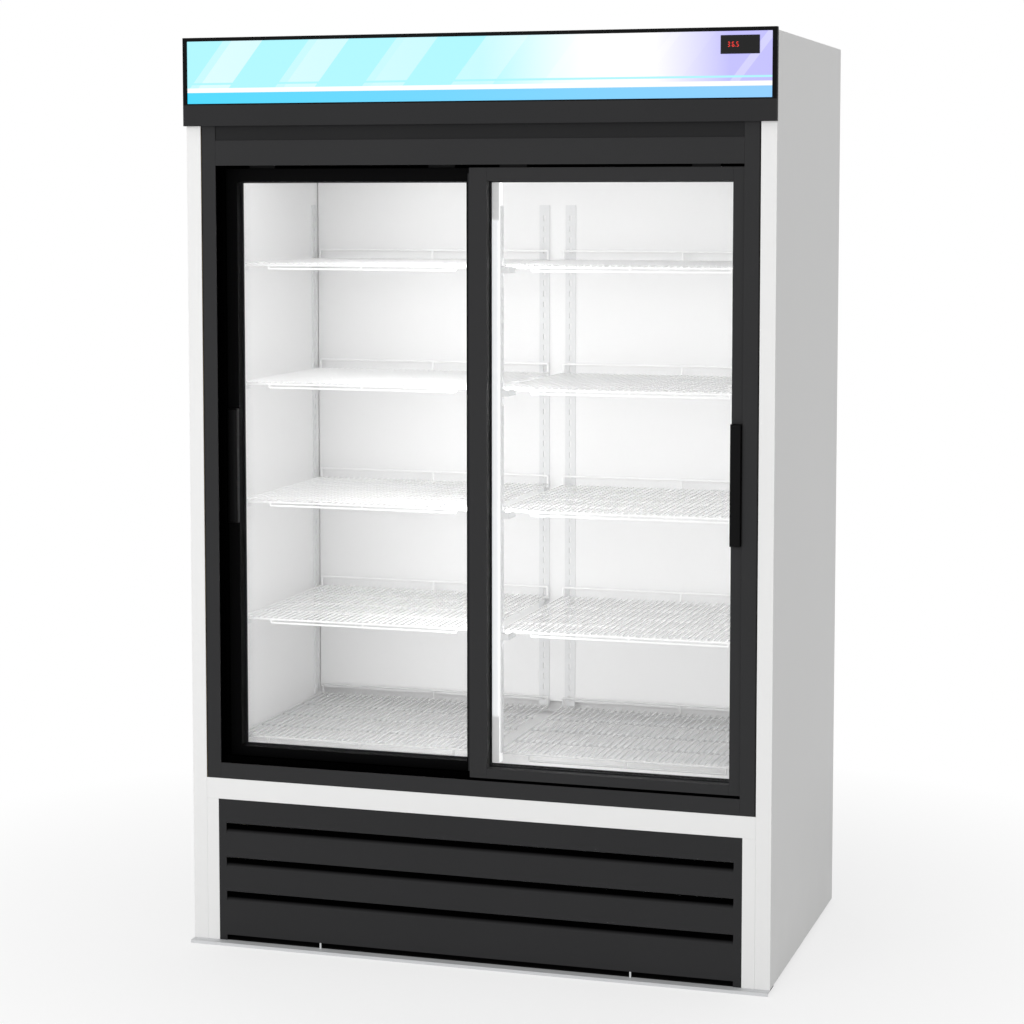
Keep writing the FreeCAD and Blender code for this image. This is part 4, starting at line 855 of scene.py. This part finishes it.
class MERCHANDISER_OT_shelves(bpy.types.Operator):
    """Round-wire shelves in pairs, with front lip and back stop"""

    bl_idname = "merchandiser.shelves"
    bl_label = "Wire shelves"

    def execute(self, context):
        for colour, nodes in RACKS.items():
            jig = self.rack_jig(enamel(colour))
            for node in nodes:
                self.make_pair(node, jig)
        return {"FINISHED"}

    def make_pair(self, node, jig):
        """The left and right rack of a node, as large as its two deep solids."""
        least_depth = 0.1
        left, right = [pair for pair in solid_boxes(node) if pair[1].y - pair[0].y > least_depth]
        low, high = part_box(node)
        level = high.z - sizes().stop
        piece = grown(f"{node}_wires", jig, Width=left[1].x - left[0].x, Depth=left[1].y - left[0].y,
                      Wires=sizes().wires, Bars=sizes().bars, Wire_radius=sizes().wire,
                      Bar_radius=sizes().bar, Lip_drop=level - low.z, Lip_inset=sizes().lip_inset,
                      Stop_height=sizes().stop, Left=left[0].x, Right=right[0].x, Front=left[0].y,
                      Level=level)
        piece.data.shade_smooth()
        stands_for(piece, node)

    def rack_jig(self, material):
        """Wires on bars, a lower front wire on posts and a rear stop, for a left and a right rack."""
        jig = Jig("wire_rack")
        width, depth, wires, bars, wire, bar, drop, inset, stop, left, right, front, level = jig.inputs(
            Width=0.579, Depth=0.49, Wires=41, Bars=5, Wire_radius=0.0020, Bar_radius=0.0024,
            Lip_drop=0.016, Lip_inset=0.07, Stop_height=0.022, Left=-0.596, Right=0.017,
            Front=-0.2175, Level=1.5)
        step = (width - wire * 2) / (wires - 1)
        bay = (depth - bar * 2) / (bars - 1)
        under = -wire * 2 - bar * 0.8
        lip = bar - drop
        rim = depth - bar
        crest = stop - bar
        far = width - inset
        wire_row = jig.row(wires, jig.vector(wire, 0.0, -wire), jig.vector(x=step))
        bar_row = jig.row(bars, jig.vector(0.0, bar, under), jig.vector(y=bay))
        grid = [jig.at(wire_row, jig.rod(ORIGIN, jig.vector(y=depth), wire)),
                jig.at(bar_row, jig.rod(ORIGIN, jig.vector(x=width), bar))]
        posts = [jig.rod(jig.vector(x, bar, lip), jig.vector(x, bar, under), bar)
                 for x in (inset, width / 2, far)]
        posts += [jig.rod(jig.vector(x, rim, under), jig.vector(x, rim, crest), bar)
                  for x in (bar, width / 2, width - bar)]
        rails = [jig.rod(jig.vector(inset, bar, lip), jig.vector(far, bar, lip), bar),
                 jig.rod(jig.vector(bar, rim, crest), jig.vector(width - bar, rim, crest), bar)]
        rack = jig.joined([*grid, *posts, *rails])
        return jig.done([jig.moved(rack, jig.vector(x, front, level)) for x in (left, right)], material)


def coil_jig(material):
    """A pack of thin fins along X with two rows of tubes through it."""
    jig = Jig("fin_pack")
    fins, pitch, thick, deep, tall, tube, tubes, corner = jig.inputs(
        Fins=80, Pitch=0.0055, Thickness=0.0008, Depth=0.05, Height=0.26, Tube_radius=0.0048, Tubes=6,
        Corner=ORIGIN)
    fin = jig.moved(jig.cube(jig.vector(thick, deep, tall)), jig.vector(0.0, deep / 2, tall / 2))
    pack = jig.at(jig.row(fins, jig.vector(x=thick / 2), jig.vector(x=pitch)), fin)
    rise = tall / tubes
    run = jig.rod(ORIGIN, jig.vector(x=pitch * (fins - 1) + thick), tube)
    rows = [jig.row(tubes, jig.vector(0.0, deep * share, rise / 2), jig.vector(z=rise))
            for share in (0.3, 0.7)]
    coil = jig.joined([pack, *(jig.at(row, run) for row in rows)])
    return jig.done([jig.moved(coil, corner)], material)


def fin_coil(node, tubes):
    """Aluminium fins and tubes that fill the box of a coil node."""
    low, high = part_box(node)
    span = high.x - low.x - sizes().fin
    fins = int(span / sizes().fin_pitch) + 1
    piece = grown(f"{node}_fins", coil_jig(drawn_metal("aluminium")), Fins=fins, Pitch=span / (fins - 1),
                  Thickness=sizes().fin, Depth=high.y - low.y, Height=high.z - low.z,
                  Tube_radius=sizes().tube, Tubes=tubes, Corner=low)
    stands_for(piece, node)


def around(centre, radius, angle, y):
    """A place on a circle about the Y axis through centre."""
    return centre.x + radius * math.sin(angle), y, centre.z + radius * math.cos(angle)


def lathe(bm, centre, profile, steps=40):
    """Turns a closed outline of (radius, y) corners about the Y axis through centre."""
    rings = [[bm.verts.new(around(centre, radius, math.tau * i / steps, y)) for i in range(steps)]
             for radius, y in profile]
    for first, second in zip(rings, rings[1:] + rings[:1]):
        for i in range(steps):
            j = (i + 1) % steps
            bm.faces.new((first[i], first[j], second[j], second[i]))


def bladed_wheel(node, tip):
    """A fan with swept, twisted blades on a domed hub, about its own joint axis."""
    low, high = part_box(node)
    centre = axle(node)
    middle = (low.y + high.y) / 2
    hub, bore, half = sizes().hub, sizes().bore, sizes().hub_half
    room = 0.001
    reach = (high.y - low.y) / 2 - room
    bm = bmesh.new()
    lathe(bm, centre, ((bore, middle - half), (hub * 0.7, middle - half),
                       (hub * 0.93, middle - half * 0.75), (hub, middle - half * 0.3),
                       (hub, middle + half), (bore, middle + half)))
    for blade in range(sizes().blades):
        add_blade(bm, centre, middle, hub * 0.96, tip, reach, math.tau * blade / sizes().blades)
    bmesh.ops.recalc_face_normals(bm, faces=bm.faces)
    stands_for(object_from(f"{node}_wheel", bm, moulded("moulding"), smooth=35), node)


def add_blade(bm, centre, middle, root, tip, reach, start):
    """One blade as a closed thin shell: wide at the tip, steep at the root, swept back a little."""
    spans, chords = 7, 7
    sweep, spread, ease, camber = 0.25, 0.95, 0.35, 0.004
    sheets = []
    for side in (-0.5, 0.5):
        sheet = []
        for i in range(spans):
            out = i / (spans - 1)
            radius = root + (tip - root) * out
            width = 0.62 + 0.38 * math.sin(math.pi * (0.15 + 0.6 * out))
            line = []
            for j in range(chords):
                across = j / (chords - 1) - 0.5
                angle = start + sweep * out * out + across * spread * width
                lift = across * 2 * reach * (1.0 - ease * out) + camber * (0.25 - across * across)
                y = middle + lift + side * sizes().blade
                line.append(bm.verts.new(around(centre, radius, angle, y)))
            sheet.append(line)
        sheets.append(sheet)
    under, over = sheets
    for i in range(spans - 1):
        for j in range(chords - 1):
            bm.faces.new((over[i][j], over[i + 1][j], over[i + 1][j + 1], over[i][j + 1]))
            bm.faces.new((under[i][j], under[i][j + 1], under[i + 1][j + 1], under[i + 1][j]))
    rim = [(i, 0) for i in range(spans)]
    rim += [(spans - 1, j) for j in range(1, chords)]
    rim += [(i, chords - 1) for i in range(spans - 2, -1, -1)]
    rim += [(0, j) for j in range(chords - 2, 0, -1)]
    for (i, j), (k, m) in zip(rim, rim[1:] + rim[:1]):
        bm.faces.new((under[i][j], under[k][m], over[k][m], over[i][j]))


class MERCHANDISER_OT_cooling_unit(bpy.types.Operator):
    """Evaporator cover with fan guards, fans, motors and coil"""

    bl_idname = "merchandiser.cooling_unit"
    bl_label = "Cooling unit"

    def execute(self, context):
        rounded("evaporator_cover", liner_coat("liner"), smooth=30)
        rounded("evaporator_fan_motors", powder_coat("motor"), smooth=40)
        guard = self.guard_jig(galvanised("zinc"))
        wire = sizes().guard_wire
        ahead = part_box("evaporator_cover")[0].y - wire * 1.5
        for side in ("left", "right"):
            node = f"evaporator_fan_{side}"
            bladed_wheel(node, sizes().evaporator_tip)
            centre = Vector((axle(node).x, ahead, axle(node).z))
            piece = grown(f"fan_guard_{side}", guard, Rings=sizes().guard_rings, Outer=sizes().guard,
                          Wire=wire, Centre=centre)
            added(piece, "evaporator_cover")
        fin_coil("evaporator_coil", tubes=5)
        return {"FINISHED"}

    def guard_jig(self, material):
        """Evenly spaced wire rings and two crossed spokes, facing -Y."""
        jig = Jig("fan_guard")
        rings, outer, wire, centre = jig.inputs(Rings=7, Outer=0.082, Wire=0.0013, Centre=ORIGIN)
        order = jig.node("GeometryNodeInputIndex") + 1.0
        size = order * outer / rings
        points = jig.row(rings, ORIGIN, ORIGIN)
        loops = jig.realized(jig.at(points, jig.circle(48, 1.0), jig.vector(size, size, size)))
        spoke = jig.rod(jig.vector(x=-outer), jig.vector(x=outer), wire)
        spokes = [jig.moved(spoke, jig.vector(z=-wire), (0.0, 0.0, turn))
                  for turn in (QUARTER * 0.5, QUARTER * 1.5)]
        flat = jig.joined([jig.tube(loops, wire), *spokes])
        return jig.done([jig.moved(flat, centre, (QUARTER, 0.0, 0.0))], material)


class MERCHANDISER_OT_machine(bpy.types.Operator):
    """Condenser, fan, compressor, control box, drain pan and copper lines in the base"""

    bl_idname = "merchandiser.machine"
    bl_label = "Machine compartment"

    def execute(self, context):
        fin_coil("condenser_coil", tubes=8)
        rounded("condenser_shroud", galvanised("zinc"), smooth=30)
        rounded("control_box", galvanised("zinc"))
        rounded("condenser_fan_motor", powder_coat("motor"), smooth=40)
        bladed_wheel("condenser_fan", sizes().condenser_tip)
        rounded("compressor", enamel("black"), smooth=45)
        rounded("condensate_pan", moulded("moulding"))
        coat("refrigerant_lines", drawn_metal("copper"))
        return {"FINISHED"}


class MERCHANDISER_OT_rear_fittings(bpy.types.Operator):
    """Panel screws and the cord inlet on the rear"""

    bl_idname = "merchandiser.rear_fittings"
    bl_label = "Rear fittings"

    def execute(self, context):
        screws = solid_boxes("panel_screws")
        low, high = screws[0]
        points = [((a.x + b.x) / 2, a.y, (a.z + b.z) / 2) for a, b in screws]
        heads = grown("panel_screw_heads", self.screw_jig(drawn_metal("motor")), points,
                      Radius=(high.x - low.x) / 2, Height=high.y - low.y)
        stands_for(heads, "panel_screws")
        rounded("cord_inlet", soft_rubber("rubber"), smooth=40)
        return {"FINISHED"}

    def screw_jig(self, material):
        """A six-sided head on a round flange at every point, facing +Y."""
        jig = Jig("hex_screw", points=True)
        radius, height = jig.inputs(Radius=0.005, Height=0.0025)
        thick = height * 0.3
        flange = jig.node("GeometryNodeMeshCylinder", {},
                          {"Vertices": 20, "Radius": radius, "Depth": thick})
        head = jig.node("GeometryNodeMeshCone", {},
                        {"Vertices": 6, "Radius Bottom": radius * 0.72, "Radius Top": radius * 0.62,
                         "Depth": height - thick})
        upright = jig.joined([jig.moved(flange, jig.vector(z=thick / 2)),
                              jig.moved(head, jig.vector(z=thick))])
        return jig.done([jig.at(jig.points, jig.moved(upright, ORIGIN, (-QUARTER, 0.0, 0.0)))], material)


class MERCHANDISER_OT_stage(bpy.types.Operator):
    """Pale floor, soft light and the camera"""

    bl_idname = "merchandiser.stage"
    bl_label = "Stage"

    def execute(self, context):
        stage = context.scene.merchandiser_stage
        self.make_world(stage.world)
        self.make_floor()
        self.lamp("key", place=(-1.0, -5.5, 1.75), target=(0.0, -0.3, 1.0), size=(4.2, 3.2),
                  watts=stage.key)
        self.light_inside(stage)
        self.make_camera(stage)
        context.scene.view_settings.view_transform = "Standard"
        return {"FINISHED"}

    def light_inside(self, stage):
        """A panel behind the doors, a strip on each side of the post and a lamp over the top shelf."""
        wide, tall, strip_wide, top_deep = 1.17, 1.30, 0.03, 0.04
        clear, drop = 0.002, 0.10
        beside, outward, rearward = 0.035, 0.6, 0.2
        ledge, downward = 0.01, 0.12
        low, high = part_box("liner")
        middle = (low.z + high.z) / 2
        lower = middle - drop
        self.lamp("inside", (0.0, low.y + clear, lower), (0.0, high.y, lower), (wide, tall), stage.inside)
        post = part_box("center_mullion")[1].y + clear
        for side in (-1, 1):
            aim = (side * outward, post + rearward, middle)
            self.lamp("strip", (side * beside, post, middle), aim, (strip_wide, tall), stage.strip)
        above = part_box("frame_head")[0].z
        self.lamp("top", (0.0, low.y + ledge, above), (0.0, high.y, above - downward), (wide, top_deep),
                  stage.top)

    def seen(self, graph):
        """One for rays from the camera, mirrors and glass, and nothing for the light itself."""
        path = graph.node("ShaderNodeLightPath").socket.node.outputs
        straight = Signal(graph, path["Is Camera Ray"]) + Signal(graph, path["Is Transmission Ray"])
        return (straight + Signal(graph, path["Is Glossy Ray"])).clamped()

    def make_world(self, strength):
        world = bpy.data.worlds.new("studio")
        bpy.context.scene.world = world
        world.use_nodes = True
        world.node_tree.nodes.clear()
        graph = Graph(world.node_tree)
        level = self.seen(graph) * (1.0 - strength) + strength
        sky = graph.node("ShaderNodeBackground", {}, {"Color": WHITE, "Strength": level})
        graph.node("ShaderNodeOutputWorld", {}, {"Surface": sky})

    def make_floor(self):
        """A floor that shows the shadow near the object and turns white farther out."""
        half, below = 30.0, 0.0005
        near, fade, shadow = 0.75, 1.1, 0.28
        bm = bmesh.new()
        bmesh.ops.create_grid(bm, x_segments=1, y_segments=1, size=half)
        f = Finish("studio_floor")
        pale = f.shade(Base_Color=(0.86, 0.86, 0.86, 1.0), Roughness=0.8)
        white = f.node("ShaderNodeEmission", {}, {"Color": WHITE, "Strength": 1.0})
        x, y, _ = f.axes()
        away = (((x * x + y * y).root() - near) / fade).clamped()
        share = self.seen(f) * (1.0 - shadow + away * shadow)
        both = f.node("ShaderNodeMixShader", {}, {0: share, 1: pale, 2: white})
        floor = object_from("studio_floor", bm, f.done(both))
        floor.data.transform(Matrix.Translation((0.0, 0.0, -below)))

    def lamp(self, name, place, target, size, watts):
        light = bpy.data.lights.new(name, "AREA")
        light.shape = "RECTANGLE"
        light.size, light.size_y = size
        light.energy = watts
        holder = bpy.data.objects.new(name, light)
        holder.visible_glossy = False
        holder.location = place
        holder.rotation_euler = (Vector(target) - Vector(place)).to_track_quat("-Z", "Y").to_euler()
        bpy.context.scene.collection.objects.link(holder)

    def make_camera(self, stage):
        lens = bpy.data.cameras.new("front_right")
        lens.lens = stage.lens
        lens.sensor_width = stage.sensor
        lens.shift_x = stage.shift_x
        lens.shift_y = stage.shift_y
        camera = bpy.data.objects.new("front_right", lens)
        camera.location = stage.camera
        camera.rotation_euler = (QUARTER - stage.dip, 0.0, stage.yaw)
        bpy.context.scene.collection.objects.link(camera)
        bpy.context.scene.camera = camera


PIECES = (
    MERCHANDISER_OT_cabinet, MERCHANDISER_OT_door_frame, MERCHANDISER_OT_doors, MERCHANDISER_OT_header,
    MERCHANDISER_OT_front_grille, MERCHANDISER_OT_inner_fittings, MERCHANDISER_OT_shelves,
    MERCHANDISER_OT_cooling_unit, MERCHANDISER_OT_machine, MERCHANDISER_OT_rear_fittings,
    MERCHANDISER_OT_stage,
)
SETTINGS = {
    "merchandiser_sizes": MerchandiserSizes,
    "merchandiser_colours": MerchandiserColours,
    "merchandiser_stage": MerchandiserStage,
}


class MERCHANDISER_PT_panel(bpy.types.Panel):
    """Lists the pieces and their settings in the sidebar"""

    bl_idname = "MERCHANDISER_PT_panel"
    bl_label = "Merchandiser"
    bl_space_type = "VIEW_3D"
    bl_region_type = "UI"
    bl_category = "Merchandiser"

    def draw(self, context):
        for piece in PIECES:
            self.layout.operator(piece.bl_idname)
        for name, group in SETTINGS.items():
            box = self.layout.box()
            for setting in group.__annotations__:
                box.prop(getattr(context.scene, name), setting)


CLASSES = (*SETTINGS.values(), *PIECES, MERCHANDISER_PT_panel)


def register():
    for one in CLASSES:
        bpy.utils.register_class(one)
    for name, group in SETTINGS.items():
        setattr(bpy.types.Scene, name, PointerProperty(type=group))


def unregister():
    for name in SETTINGS:
        delattr(bpy.types.Scene, name)
    for one in reversed(CLASSES):
        bpy.utils.unregister_class(one)


def main():
    register()
    for piece in PIECES:
        family, name = piece.bl_idname.split(".")
        getattr(getattr(bpy.ops, family), name)()


if __name__ == "__main__":
    main()
